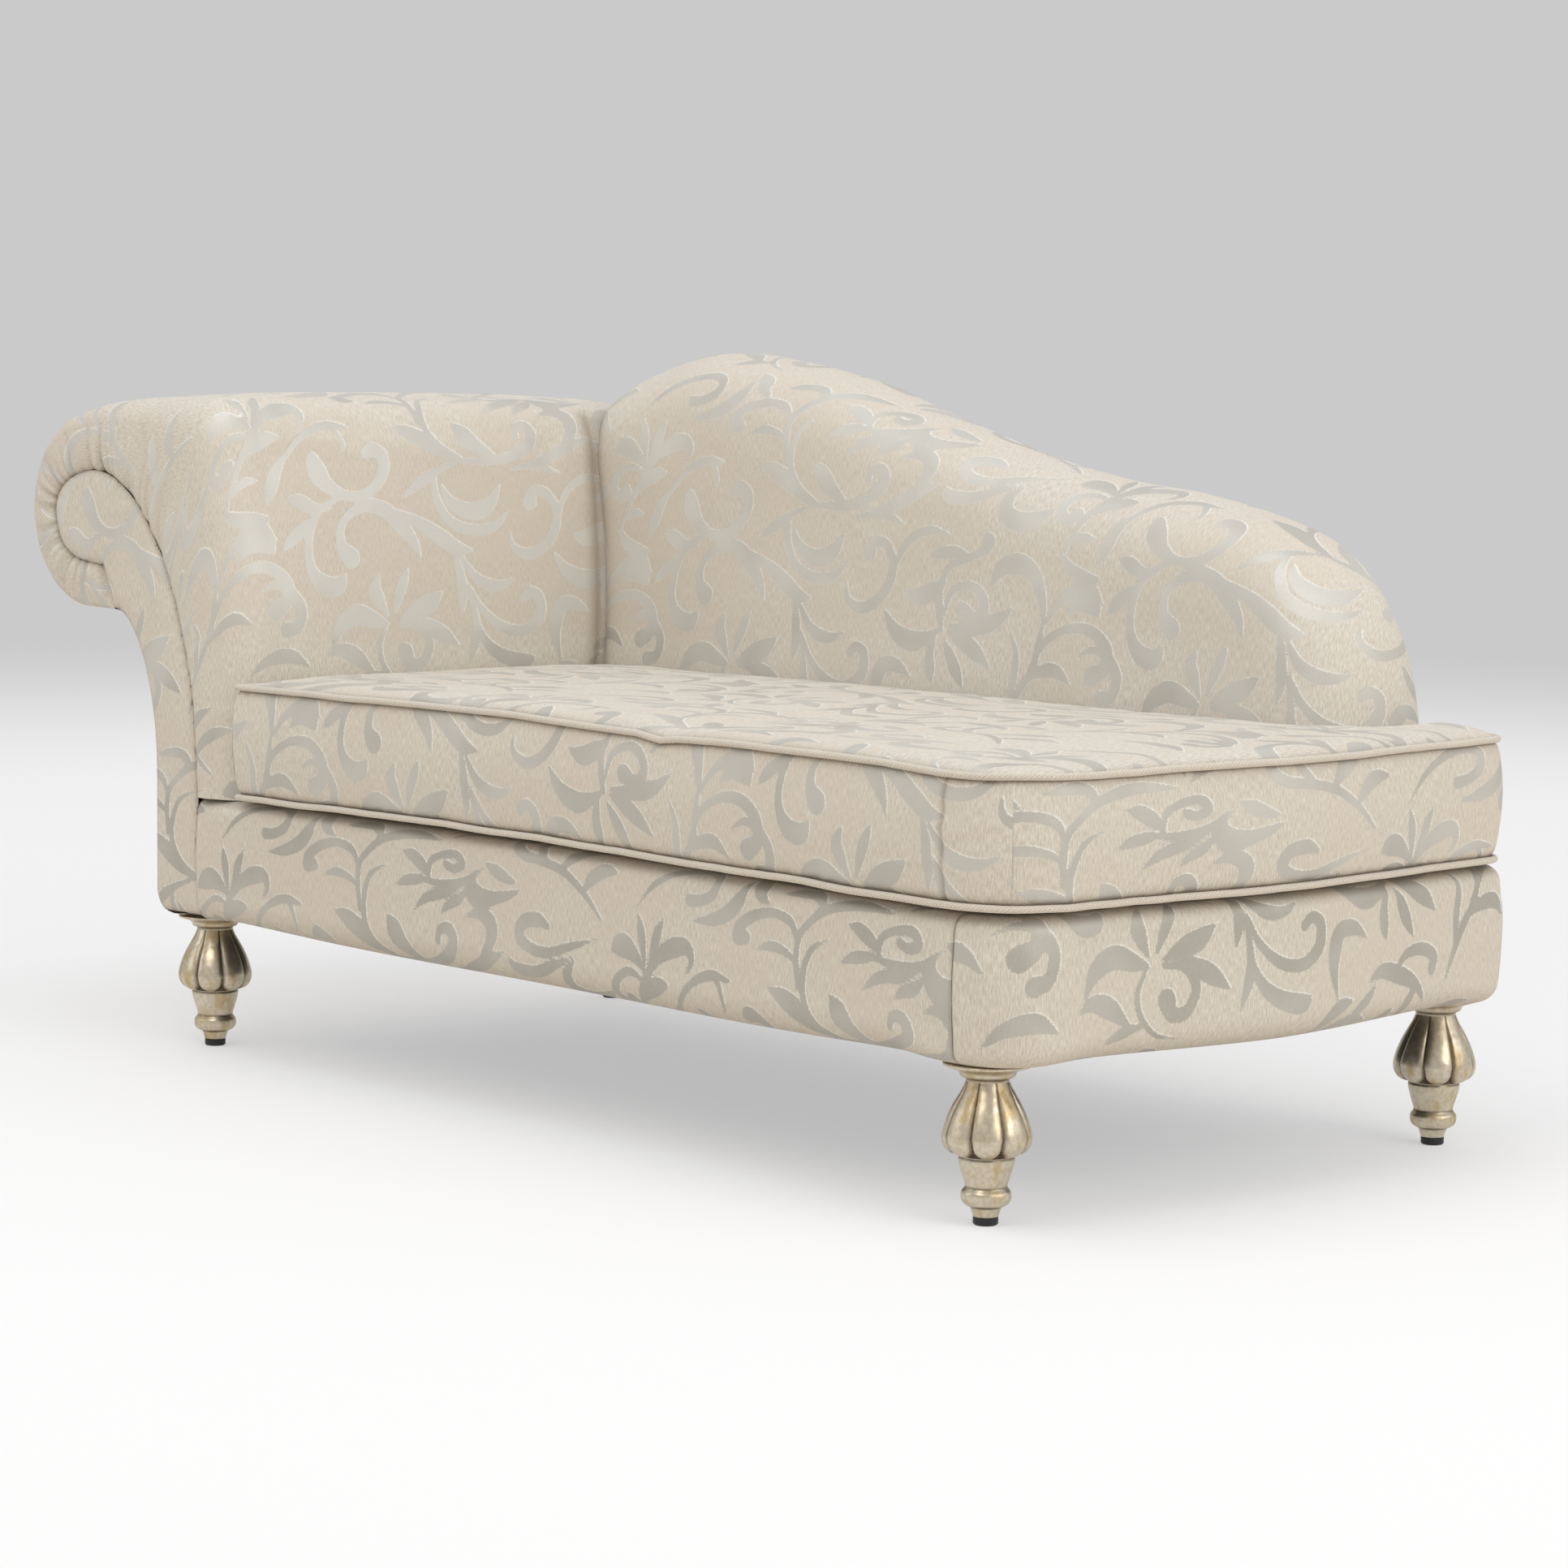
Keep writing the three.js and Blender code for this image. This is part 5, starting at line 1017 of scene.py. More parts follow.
# %% Sweeping a welt along its seam
def welt_tree():
    tree = bpy.data.node_groups.new("welt_along_seam", "GeometryNodeTree")
    face = tree.interface
    face.new_socket("Geometry", in_out="INPUT", socket_type="NodeSocketGeometry")
    face.new_socket("Radius", in_out="INPUT", socket_type="NodeSocketFloat")
    face.new_socket("Material", in_out="INPUT", socket_type="NodeSocketMaterial")
    face.new_socket("Geometry", in_out="OUTPUT", socket_type="NodeSocketGeometry")

    def put(kind, **settings):
        node = tree.nodes.new(kind)
        for key, value in settings.items():
            setattr(node, key, value)
        return node

    start, end = put("NodeGroupInput"), put("NodeGroupOutput")
    line = put("GeometryNodeMeshToCurve")
    measure, keep = put("GeometryNodeSplineParameter"), put("GeometryNodeStoreNamedAttribute", domain="POINT")
    keep.inputs["Name"].default_value = "run"
    ring, round_it = put("GeometryNodeCurvePrimitiveCircle"), put("GeometryNodeStoreNamedAttribute")
    ring.inputs["Resolution"].default_value = 14
    round_it.inputs["Name"].default_value = "turn"
    sweep, whole, colour = put("GeometryNodeCurveToMesh"), put("GeometryNodeRealizeInstances"), put(
        "GeometryNodeSetMaterial")
    smooth = put("GeometryNodeSetShadeSmooth")
    turn = put("GeometryNodeSplineParameter")
    for a, b in (
        (start.outputs["Geometry"], line.inputs[0]), (line.outputs[0], keep.inputs["Geometry"]),
        (measure.outputs["Length"], keep.inputs["Value"]), (start.outputs["Radius"], ring.inputs["Radius"]),
        (ring.outputs["Curve"], round_it.inputs["Geometry"]), (turn.outputs["Factor"], round_it.inputs["Value"]),
        (keep.outputs["Geometry"], sweep.inputs["Curve"]),
        (round_it.outputs["Geometry"], sweep.inputs["Profile Curve"]), (sweep.outputs[0], smooth.inputs[0]),
        (smooth.outputs[0], whole.inputs[0]), (whole.outputs[0], colour.inputs[0]),
        (start.outputs["Material"], colour.inputs["Material"]), (colour.outputs[0], end.inputs[0]),
    ):
        tree.links.new(a, b)
    return tree


WELT_TREE = welt_tree()


def welt(name, top, node):
    spots = LOOP + 0.6 * LOOP_OUT
    height = seam_height(LOOP, top)
    line = np.concatenate([spots, height[:, None]], 1)
    mesh = bpy.data.meshes.new(name)
    count = len(line)
    edges = [(i, (i + 1) % count) for i in range(count)]
    mesh.from_pydata([tuple(p) for p in line * MM + HOME], edges, [])
    holder = bpy.data.objects.new(name, mesh)
    bpy.context.scene.collection.objects.link(holder)
    sweep = holder.modifiers.new("welt", "NODES")
    sweep.node_group = WELT_TREE
    sockets = {item.name: item.identifier for item in WELT_TREE.interface.items_tree if item.in_out == "INPUT"}
    sweep[sockets["Radius"]] = 3.7 * MM
    sweep[sockets["Material"]] = WELT
    shown = holder.evaluated_get(bpy.context.evaluated_depsgraph_get())
    made = bpy.data.meshes.new_from_object(shown)
    bpy.data.objects.remove(holder)
    piece = bpy.data.objects.new(name, made)
    bpy.context.scene.collection.objects.link(piece)
    corners = np.zeros(len(made.loops), np.int32)
    made.loops.foreach_get("vertex_index", corners)
    run, turn = (np.zeros(len(made.vertices), np.float32) for _ in range(2))
    made.attributes["run"].data.foreach_get("value", run)
    made.attributes["turn"].data.foreach_get("value", turn)
    u, v = run[corners], turn[corners]
    u = np.where((u.reshape(-1, 4).max(1) - u.reshape(-1, 4).min(1) > 1)[:, None].repeat(4, 1).ravel() & (u < 1),
                 u + run.max(), u)
    v = np.where((v.reshape(-1, 4).max(1) - v.reshape(-1, 4).min(1) > 0.5)[:, None].repeat(4, 1).ravel() & (v < 0.5),
                 v + 1, v) * 0.022
    made.uv_layers.new(name="cloth").data.foreach_set("uv", np.stack([u, v], 1).astype(np.float32).ravel())
    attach(piece, "cushion")
    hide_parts(node)
    print(name, len(made.polygons), "faces")
    return piece


welt("cushion_welt_top", True, "cushion_piping_top")
welt("cushion_welt_bottom", False, "cushion_piping_bottom")

# %% [markdown]
# ## The scroll arm
#
# One cover runs up the arm's inner face, over the crest and round the roll. At the front it turns the
# edge and is gathered in pleats round the scroll, and a separate padded facing closes the front. The
# outer face and the rear have plain panels.

# %% The arm's outline
def arm_line():
    """The arm's outline in x and z, from the outer face's foot over the roll to the inner face's foot."""
    neck = (ROLL_X + 0.55 * ROLL_RADIUS, ROLL_Z - ROLL_RADIUS)
    turn = math.radians(0.32 * 360)
    leave = (ROLL_X + ROLL_RADIUS * math.cos(turn), ROLL_Z + ROLL_RADIUS * math.sin(turn))
    crest, shoulder = (ARM_INNER_X - 91.0, ARM_CREST), (ARM_INNER_X - 41.0, ARM_CREST - 50.0)
    hip = (ARM_INNER_X, HIP_Z)
    parts = [
        arc(ARM_FACE_X + 32, BASE_BOTTOM + 32, 32, 32, 270, 180, 20),
        bezier((ARM_FACE_X, ARM_STRAIGHT), (ARM_FACE_X, mix(ARM_STRAIGHT, neck[1], 0.56)),
               (mix(ARM_FACE_X, neck[0], 0.54), neck[1]), neck, 80),
        arc(ROLL_X, ROLL_Z, ROLL_RADIUS, ROLL_RADIUS, 270, 0.32 * 360, 140),
        bezier(leave, (mix(leave[0], crest[0], 0.24), mix(leave[1], crest[1], 0.82)),
               (mix(leave[0], crest[0], 0.56), ARM_CREST), crest, 90),
        bezier(crest, (mix(crest[0], shoulder[0], 0.6), ARM_CREST),
               (mix(crest[0], shoulder[0], 0.88), mix(crest[1], shoulder[1], 0.4)), shoulder, 40),
        bezier(shoulder, (mix(shoulder[0], hip[0], 0.2), mix(shoulder[1], hip[1], 0.2)),
               (ARM_INNER_X, mix(shoulder[1], hip[1], 0.6)), hip, 80),
        np.array([(ARM_INNER_X, 440.0), (ARM_INNER_X, BASE_TOP + 0.6)]),
    ]
    line = np.concatenate(parts)
    line = line[np.concatenate([[True], np.linalg.norm(np.diff(line, axis=0), axis=1) > 0.01])]
    return evenly(line, 4000)


ARM_LINE = arm_line()
ARM_WAY = with_normals(ARM_LINE)
ARM_WAY = -ARM_WAY if ARM_WAY[-1, 0] < 0 else ARM_WAY
ARM_RUN = along(ARM_LINE)
outer_top = int(np.argmax((ARM_LINE[:, 1] > 512) & (ARM_LINE[:, 0] > -1600)))
neck_at = int(np.argmin(np.hypot(ARM_LINE[:, 0] + 1498, ARM_LINE[:, 1] - 523)))
print("the arm's outline:", round(ARM_RUN[-1]), "mm; the neck at", round(ARM_RUN[neck_at]))


def arm_dip(y):
    """How far the crest has fallen at a depth."""
    return 18.0 * np.interp(y, (488.7, 609.6, 730.4), (0, 0.3, 1))


def dipped(x, z, y):
    return z - arm_dip(y) * np.clip((z - ROLL_Z) / (ARM_CREST - ROLL_Z), 0, None)


def arm_sides(start, end, spacing):
    """Points and outward ways of part of the outline."""
    marks = np.linspace(ARM_RUN[start], ARM_RUN[end], max(int((ARM_RUN[end] - ARM_RUN[start]) / spacing), 4))
    spots = np.stack([np.interp(marks, ARM_RUN, ARM_LINE[:, k]) for k in (0, 1)], 1)
    ways = np.stack([np.interp(marks, ARM_RUN, ARM_WAY[:, k]) for k in (0, 1)], 1)
    return spots, ways / np.linalg.norm(ways, axis=1, keepdims=True), marks


# %% The seam round the scroll, and the line of the outline that each seam point answers
SEAM = curve_through([
    (-1521.6, 576), (-1549, 578), (-1585, 584), (-1611, 600), (-1624, 627), (-1624, 650), (-1612, 668),
    (-1590, 681), (-1560, 689), (-1531, 690), (-1500, 683), (-1470, 667), (-1448, 651), (-1431, 634),
    (-1416, 615), (-1402, 597), (-1386, 572), (-1374, 549), (-1362, 519), (-1350, 483), (-1338, 441),
    (-1330, 388), (-1326, 339), (-1324, 291), (-1323, 250), (-1321, 210), (-1319, 164),
], 1600)
SEAM_RUN = along(SEAM)


def seam_near(x, z):
    return SEAM_RUN[int(np.argmin(np.hypot(SEAM[:, 0] - x, SEAM[:, 1] - z)))]


def outline_near(x, z):
    return ARM_RUN[int(np.argmin(np.hypot(ARM_LINE[:, 0] - x, ARM_LINE[:, 1] - z)))]


PAIRS = np.array([
    (outline_near(-1498, 523), seam_near(-1521.6, 576)), (outline_near(-1564, 523), seam_near(-1560, 579)),
    (outline_near(-1649, 558), seam_near(-1611, 600)), (outline_near(-1684, 643), seam_near(-1625, 640)),
    (outline_near(-1649, 728), seam_near(-1604, 674)), (outline_near(-1615, 752), seam_near(-1583, 684)),
    (outline_near(-1540, 768), seam_near(-1527, 690)), (outline_near(-1440, 778), seam_near(-1455, 657)),
    (outline_near(-1331, 783), seam_near(-1408, 605)), (outline_near(-1281, 733), seam_near(-1384, 568)),
    (outline_near(-1268, 640), seam_near(-1362, 519)), (outline_near(-1250, 530), seam_near(-1345, 465)),
    (outline_near(-1240, 444), seam_near(-1334, 415)), (outline_near(-1240, 308.6), seam_near(-1324, 308.6)),
])


def edge_roll(run):
    """How far in from the seam the arm's front edge rolls over: little at the neck, most down the inner side."""
    neck = ARM_RUN[neck_at]
    return np.interp(run, (neck, neck + 60, neck + 160, PAIRS[6, 0], PAIRS[9, 0]), (4, 14, 20, 26, 50))


# %% The arm's long cover
def arm_pull(run, y):
    """Small unevenness of the arm's cover, as a distance outwards."""
    place = np.stack(np.broadcast_arrays(run[:, None], y), -1)
    lumps = 1.5 * noise(place, 150.0, 101) + 0.8 * noise(place, 62.0, 102) + 0.25 * noise(place, 22.0, 103)
    drag = 0.9 * noise(place * np.array([0.35, 1.0]), 30.0, 104) * np.exp(-(y - 15) / 70.0)
    return (lumps + drag) * (1 - np.exp(-(((y - y[:, :1]) / 22.0) ** 2)))


def back_front_at(x, z):
    """Where the back's front face stands, as a depth."""
    return BACK_FRONT_Y + 35.0 * np.clip((z - HIP_Z) / (BACK_TOP - HIP_Z), 0, 1)


def arm_body():
    start, end = outer_top, len(ARM_LINE) - 1
    spots, ways, run = arm_sides(start, end, GRAIN)
    y = mix(edge_roll(run)[:, None] + 1.0, ARM_REAR_Y, np.linspace(0, 1, 200)[None])
    grid = np.zeros((*y.shape, 3))
    grid[..., 0] = spots[:, :1]
    grid[..., 1] = y
    grid[..., 2] = dipped(spots[:, :1], spots[:, 1:], y)
    way = np.zeros_like(grid)
    way[..., 0], way[..., 2] = ways[:, :1], ways[:, 1:]
    coarse = finer(finer(grid, 0, 100), 1, 60)
    moved = settled("arm_cloth", coarse, 2.5, 0.012, 4.0, 60.0) - coarse
    grid += finer(finer(moved, 0, grid.shape[0]), 1, grid.shape[1])
    grid += way * arm_pull(run, y)[..., None]
    grid -= way * (3.0 * np.exp(-(ARM_REAR_Y - y) / 4.0))[..., None]
    behind = np.clip(1 - np.abs(grid[..., 1] - back_front_at(grid[..., 0], grid[..., 2])) / 26.0, 0, 1)
    inner = np.clip((ways[:, 0] - 0.55) / 0.3, 0, 1)[:, None]
    grid -= way * (5.0 * behind ** 2 * inner)[..., None]
    # Painted shade: the inner face darkens in the crevice against the back and towards the seat.
    low = np.clip(1 - (grid[..., 2] - BASE_TOP) / 160.0, 0, 1) * inner
    dark = 0.55 * behind ** 1.5 * inner + 0.3 * low
    place = np.stack(np.broadcast_arrays(y, -run[:, None]), -1) + (18.0, 54.4 + outline_near(-1246, 513))
    return grid, way, place, dark, spots, run


def arm_front(grid, place):
    """The cover's turned edge and its gathered part, out to the seam of the facing."""
    first = int(np.argmax(ARM_MARKS >= PAIRS[0, 0]))
    edge = grid[first:, 0]
    run = ARM_MARKS[first:]
    at = np.interp(run, PAIRS[:, 0], PAIRS[:, 1])
    goal = np.stack([np.interp(at, SEAM_RUN, SEAM[:, k]) for k in (0, 1)], 1)
    start = edge[:, [0, 2]]
    reach = np.linalg.norm(goal - start, axis=1)
    way = (goal - start) / np.maximum(reach, 1e-6)[:, None]
    t = np.linspace(0, 1, 74)
    roll = edge_roll(run)[:, None]
    depth = reach[:, None] * t[None, :] ** 1.12
    turned = np.clip(1 - depth / (roll * (1 + 0.3 * np.clip((roll - 26) / 24.0, 0, 1))), 0, 1)
    y = roll + 1.0 - (roll + 3.0) * np.sqrt(np.clip(1 - turned ** 2, 0, 1))
    past = np.clip((depth - roll) / np.maximum(reach[:, None] - roll, 1), 0, 1)
    y -= 3.2 * np.sin(np.pi * past) ** 0.8
    left = reach[:, None] - depth
    y += 4.2 * np.exp(-left / 5.0)
    scroll = np.clip((PAIRS[7, 0] - run) / 90.0, 0, 1)[:, None]
    sway = 1.4 * noise(np.stack(np.broadcast_arrays(run[:, None] * 0.5, depth), -1), 40.0, 111)
    each = np.stack([run, run], 1)
    ripple = np.abs(np.sin(run[:, None] / 7.9 + sway + 2.6 * noise(each, 58.0, 112)[:, None]))
    reach_in = 24.0 + 14.0 * noise(each, 33.0, 114)[:, None]
    weight = np.exp(-left / reach_in) * (1 - np.exp(-depth / 9.0)) * (0.75 + 0.5 * noise(each, 26.0, 115)[:, None])
    pleat = (1.0 - ripple ** 0.7) * weight * scroll
    fold = 1 - np.abs(np.sin(run[:, None] / 16.5 + sway + 2.0 * noise(each, 90.0, 116)[:, None])) ** 0.6
    fold = fold * np.exp(-left / 58.0) * (1 - np.exp(-depth / 14.0)) * np.clip((PAIRS[9, 0] - run) / 120.0, 0, 1)[:, None]
    y += 4.2 * pleat + 3.0 * fold
    y += (4.5 - y) * np.exp(-(((run - run[0]) / 13.0) ** 2))[:, None]
    drag = noise(np.stack(np.broadcast_arrays(run[:, None] * 1.4, depth * 0.3), -1), 26.0, 113)
    y += 0.9 * drag * (1 - np.exp(-depth / 14.0)) * (1 - scroll * 0.4)
    out = np.zeros((*depth.shape, 3))
    out[..., 0] = start[:, None, 0] + way[:, None, 0] * depth
    out[..., 2] = start[:, None, 1] + way[:, None, 1] * depth
    out[..., 1] = y
    out[:, 0] = edge
    # Painted shade in the pleats and folds and along the seam of the facing.
    dark = 0.65 * np.exp(-left / 2.6) + 0.6 * pleat + 0.35 * fold
    length = np.hstack([np.zeros((len(out), 1)), np.cumsum(np.linalg.norm(np.diff(out, axis=1), axis=-1), axis=1)])
    spot = place[first:, :1] - np.stack([length, np.zeros_like(length)], -1)
    return out, spot, np.clip(dark, 0, 1)


body, body_way, body_place, body_dark, arm_spots, ARM_MARKS = arm_body()
front_grid, front_place, front_dark = arm_front(body, body_place)
FACE_OUT = np.array([0.0, -1.0, 0.0])
arm_pieces = [patch(body, body_way, body_place, body_dark), patch(front_grid, FACE_OUT, front_place, front_dark)]
finish_pad(cover("arm_cover", arm_pieces, DAMASK), "frame", "arm_pad")


# %% The arm's front facing
def facing_outline():
    low = int(np.argmax(ARM_LINE[:, 1] > 165.0))
    strip = ARM_LINE[low:neck_at:12] - 2.0 * ARM_WAY[low:neck_at:12]
    return np.concatenate([strip, [ARM_LINE[neck_at] + (-1.5, 3.0)], SEAM[::8]])


def arm_facing():
    outline = facing_outline()
    spots, faces, depth = filled(outline, GRAIN)
    puff = 1 - np.exp(-depth / 9.0)
    flat = np.stack([spots[:, 0], spots[:, 1]], 1)
    lumps = 1.1 * noise(flat, 70.0, 121) + 0.5 * noise(flat, 26.0, 122)
    on_scroll = np.clip((flat[:, 1] - 500) / 60.0, 0, 1)
    round_eye = np.arctan2(flat[:, 1] - 634, flat[:, 0] + 1560)
    eye = np.hypot(flat[:, 0] + 1560, flat[:, 1] - 634)
    pulls = on_scroll * np.sin(round_eye * 17 + 3 * noise(flat, 60.0, 123)) * np.exp(-depth / 16.0) * (
        eye > 20)
    side = 1.2 * noise(flat * np.array([1.0, 0.4]), 24.0, 124) * np.exp(-depth / 22.0)
    y = 2.2 - 5.8 * puff - 0.9 * lumps * puff - 0.9 * pulls * puff - 0.8 * side * puff
    points = np.stack([spots[:, 0], y, spots[:, 1]], 1)
    # Painted shade along the facing's seam and in the pulls round the scroll.
    dark = 0.6 * np.exp(-depth / 2.4) + 0.2 * np.clip(pulls * puff, 0, 1)
    place = flat + np.array([1700.0, 40.0])
    return {"points": points, "faces": faces, "cloth": place, "painted_shade": np.clip(dark, 0, 1)}


finish_pad(cover("arm_front_facing_cover", [arm_facing()], DAMASK), "frame", "arm_front_facing")


# %% The arm's outer and rear panels
def outer_panel():
    spots, ways, run = arm_sides(0, outer_top, 4.5)
    y = np.linspace(1.6, ARM_REAR_Y, 150)
    grid = np.zeros((len(spots), len(y), 3))
    place = np.stack(np.broadcast_arrays(-y[None, :], run[:, None]), -1)
    lumps = 1.4 * noise(place, 140.0, 131) + 0.6 * noise(place, 50.0, 132)
    ends = np.minimum(y - y[0], y[-1] - y)[None, :]
    out = lumps * (1 - np.exp(-ends / 14.0)) - 3.0 * np.exp(-ends / 4.0) - 3.0 * np.exp(
        -(run[-1] - run[:, None]) / 4.0)
    grid[..., 0] = spots[:, :1] + ways[:, :1] * out
    grid[..., 1] = y[None]
    grid[..., 2] = spots[:, 1:] + ways[:, 1:] * out
    # Painted shade along the panel's seams at the front, the rear and the top.
    dark = 0.8 * np.exp(-ends / 3.5) + 0.8 * np.exp(-(run[-1] - run[:, None]) / 4.0)
    way = np.zeros_like(grid)
    way[..., 0], way[..., 2] = ways[:, :1], ways[:, 1:]
    return patch(grid, way, place + 210.0, np.clip(dark, 0, 1))


finish_pad(cover("arm_outer_cover", [outer_panel()], DAMASK), "frame", "arm_outer_panel")


def rear_facing():
    line = ARM_LINE[::14] - 2.5 * ARM_WAY[::14]
    line = np.stack([line[:, 0], dipped(line[:, 0], line[:, 1], ARM_REAR_Y)], 1)
    line = np.concatenate([line, [(ARM_INNER_X - 2.5, BASE_BOTTOM + 2), (ARM_FACE_X + 32, BASE_BOTTOM + 2)]])
    spots, faces, depth = filled(line, 5.0)
    puff = 1 - np.exp(-depth / 7.0)
    y = ARM_REAR_Y + 1.0 + 7.0 * puff + 0.8 * noise(spots, 80.0, 141) * puff
    points = np.stack([spots[:, 0], y, spots[:, 1]], 1)
    # Painted shade along the panel's edges.
    return {"points": points, "faces": faces[:, ::-1], "cloth": spots * (-1, 1) + 100.0,
            "painted_shade": 0.8 * np.exp(-depth / 4.0)}


finish_pad(cover("arm_rear_facing_cover", [rear_facing()], DAMASK), "frame", "arm_rear_facing")

# %% [markdown]
# ## The back
#
# The back rises beside the arm, sweeps down along the seat and falls steeply to its free end. Its front
# is one panel whose cloth turns over a thickly padded edge. The outside back is a flat panel.

# %% The back's edge
BACK_SHARES = np.array([
    (0, 0.8), (0.063, 0.892), (0.12, 0.96), (0.195, 1), (0.286, 0.983), (0.392, 0.936), (0.493, 0.858),
    (0.592, 0.79), (0.686, 0.745), (0.777, 0.719), (0.865, 0.675), (0.915, 0.628), (0.952, 0.547),
    (0.98, 0.424), (0.996, 0.26), (1, 0),
])
BACK_LOW = BASE_TOP + 0.6


def back_edge(count):
    marks = np.stack([mix(BACK_LEFT_X, BACK_RIGHT_X, BACK_SHARES[:, 0]),
                      mix(BACK_LOW, BACK_TOP, BACK_SHARES[:, 1])], 1)
    return curve_through(marks, count)


def softened(line, passes):
    for _ in range(passes):
        line[1:-1] = 0.25 * line[:-2] + 0.5 * line[1:-1] + 0.25 * line[2:]
    return line


def back_cover():
    columns, rows = 330, 96
    edge = back_edge(columns + rows)
    way = softened(with_normals(edge), 30)
    way = -way if way[columns // 2, 1] < 0 else way
    way /= np.linalg.norm(way, axis=1, keepdims=True)
    inner = softened(edge - 84.0 * way, 160)
    turn = np.radians(np.linspace(0, 90, 34))[:, None]
    bands = []
    for a in turn[:, 0]:
        share = 1 - math.sin(a)
        spot = mix(edge, inner, share)
        depth = BACK_FRONT_Y + 100.0 * (1 - math.cos(a)) ** 1.25
        bands.append(np.concatenate([spot[:, :1], np.full((len(edge), 1), depth), spot[:, 1:]], 1))
    for a in np.radians(np.linspace(0, 90, 22))[1:]:
        spot = edge - 50.0 * (1 - math.cos(a)) * way
        depth = 715.0 - 58.0 * (1 - math.sin(a))
        bands.append(np.concatenate([spot[:, :1], np.full((len(edge), 1), depth), spot[:, 1:]], 1))
    bands = np.array(bands)
    top, side = inner[:columns], inner[columns - 1:][::-1]
    rows = len(side)
    left = np.stack([np.full(rows, inner[0, 0]), np.linspace(BACK_LOW, inner[0, 1], rows)], 1)
    bottom_x = np.linspace(left[0, 0], side[0, 0], columns)
    bottom = np.stack([bottom_x, np.full(columns, BACK_LOW)], 1)
    side = side.copy()
    face = net_inside(bottom, side, top, left)
    face = np.stack([face[..., 0], np.full(face.shape[:2], BACK_FRONT_Y), face[..., 1]], -1)
    return face, bands, way, edge


def raked(grid):
    up = np.clip((grid[..., 2] - HIP_Z) / (BACK_TOP - HIP_Z), 0, 1)
    front = np.clip((715.0 - grid[..., 1]) / 165.0, 0, 1)
    grid = grid.copy()
    grid[..., 1] += 35.0 * up * front
    return grid


def arm_reach(points):
    """Distance of points outside the arm's outline, below 0 inside it."""
    flat = np.stack([points[..., 0].ravel(), points[..., 2].ravel()], 1)
    flat[:, 1] += (arm_dip(points[..., 1]) * np.clip((points[..., 2] - ROLL_Z) / 140.0, 0, 1)).ravel()
    out = np.full(len(flat), 99.0)
    close = flat[:, 0] < ARM_INNER_X + 60
    line, way = ARM_LINE[::10], ARM_WAY[::10]
    for chunk in np.array_split(np.flatnonzero(close), max(close.sum() // 4000, 1)):
        gap = flat[chunk, None, :] - line[None]
        nearest = np.argmin((gap ** 2).sum(-1), axis=1)
        out[chunk] = np.sum(gap[np.arange(len(chunk)), nearest] * way[nearest], axis=1)
    return out.reshape(points.shape[:-1])


def back_pieces():
    face, bands, way, edge = back_cover()
    face, bands = raked(face), raked(bands)
    coarse = finer(finer(face, 0, 40), 1, 110)
    moved = settled("back_cloth", coarse, 3.0, 0.01, 5.0, 90.0) - coarse
    face += finer(finer(moved, 0, face.shape[0]), 1, face.shape[1])
    grids = []
    run = along(edge)
    for grid, is_band in ((face, False), (bands, True)):
        out = np.array([0.0, -1.0, 0.0]) if not is_band else None
        flat = grid[..., [0, 2]]
        lumps = 2.0 * noise(flat, 170.0, 151) + 0.9 * noise(flat, 66.0, 152) + 0.25 * noise(flat, 24.0, 153)
        if is_band:
            middle = np.stack([edge[:, 0], np.full(len(edge), 640.0), edge[:, 1]], 1)[None]
            middle = middle - np.stack([way[:, 0], np.zeros(len(way)), way[:, 1]], 1)[None] * 60
            out = grid - middle
            out /= np.linalg.norm(out, axis=-1, keepdims=True)
        grid += out * lumps[..., None]
        reach = arm_reach(grid)
        tuck = np.exp(-np.clip(reach, 0, None) / 11.0)
        low = np.exp(-(grid[..., 2] - BACK_LOW) / 60.0)
        grid[..., 1] += 9.0 * tuck * (grid[..., 1] < 640)
        # Painted shade in the crevice by the arm and towards the seat.
        dark = np.clip(0.75 * np.exp(-np.clip(reach, 0, None) / 9.0) + 0.25 * low, 0, 1)
        grids.append((grid, out, dark))
    bands[0] = np.concatenate([face[-1], face[::-1, -1][1:]])
    return grids, run


(face_part, band_part), edge_run = back_pieces()
face_grid, face_out, face_dark = face_part
band_grid, band_out, band_dark = band_part
lengths = np.linalg.norm(np.diff(band_grid, axis=0), axis=-1)
rise = np.vstack([np.zeros((1, band_grid.shape[1])), np.cumsum(lengths, axis=0)])
inner_line = band_grid[0][:, [0, 2]]
outer_line = band_grid[33][:, [0, 2]]
lean = outer_line - inner_line
lean /= np.linalg.norm(lean, axis=1, keepdims=True)
band_place = inner_line[None] + lean[None] * rise[..., None]
BACK_CLOTH = np.array([1240.0, -412.0])
# Painted shade along the band's rear edge, where it meets the outside back.
tail = np.exp(-(rise[-1] - rise) / 4.0)
band_dark = np.clip(band_dark + 0.8 * tail, 0, 1)
back_patches = [patch(face_grid, FACE_OUT, face_grid[..., [0, 2]] + BACK_CLOTH, face_dark),
                patch(band_grid, band_out, band_place + BACK_CLOTH, band_dark)]
back_cover_piece = cover("back_cover", back_patches, DAMASK, hidden=lambda p: arm_reach(p) < -14.0)
finish_pad(back_cover_piece, "frame", "back_pad")


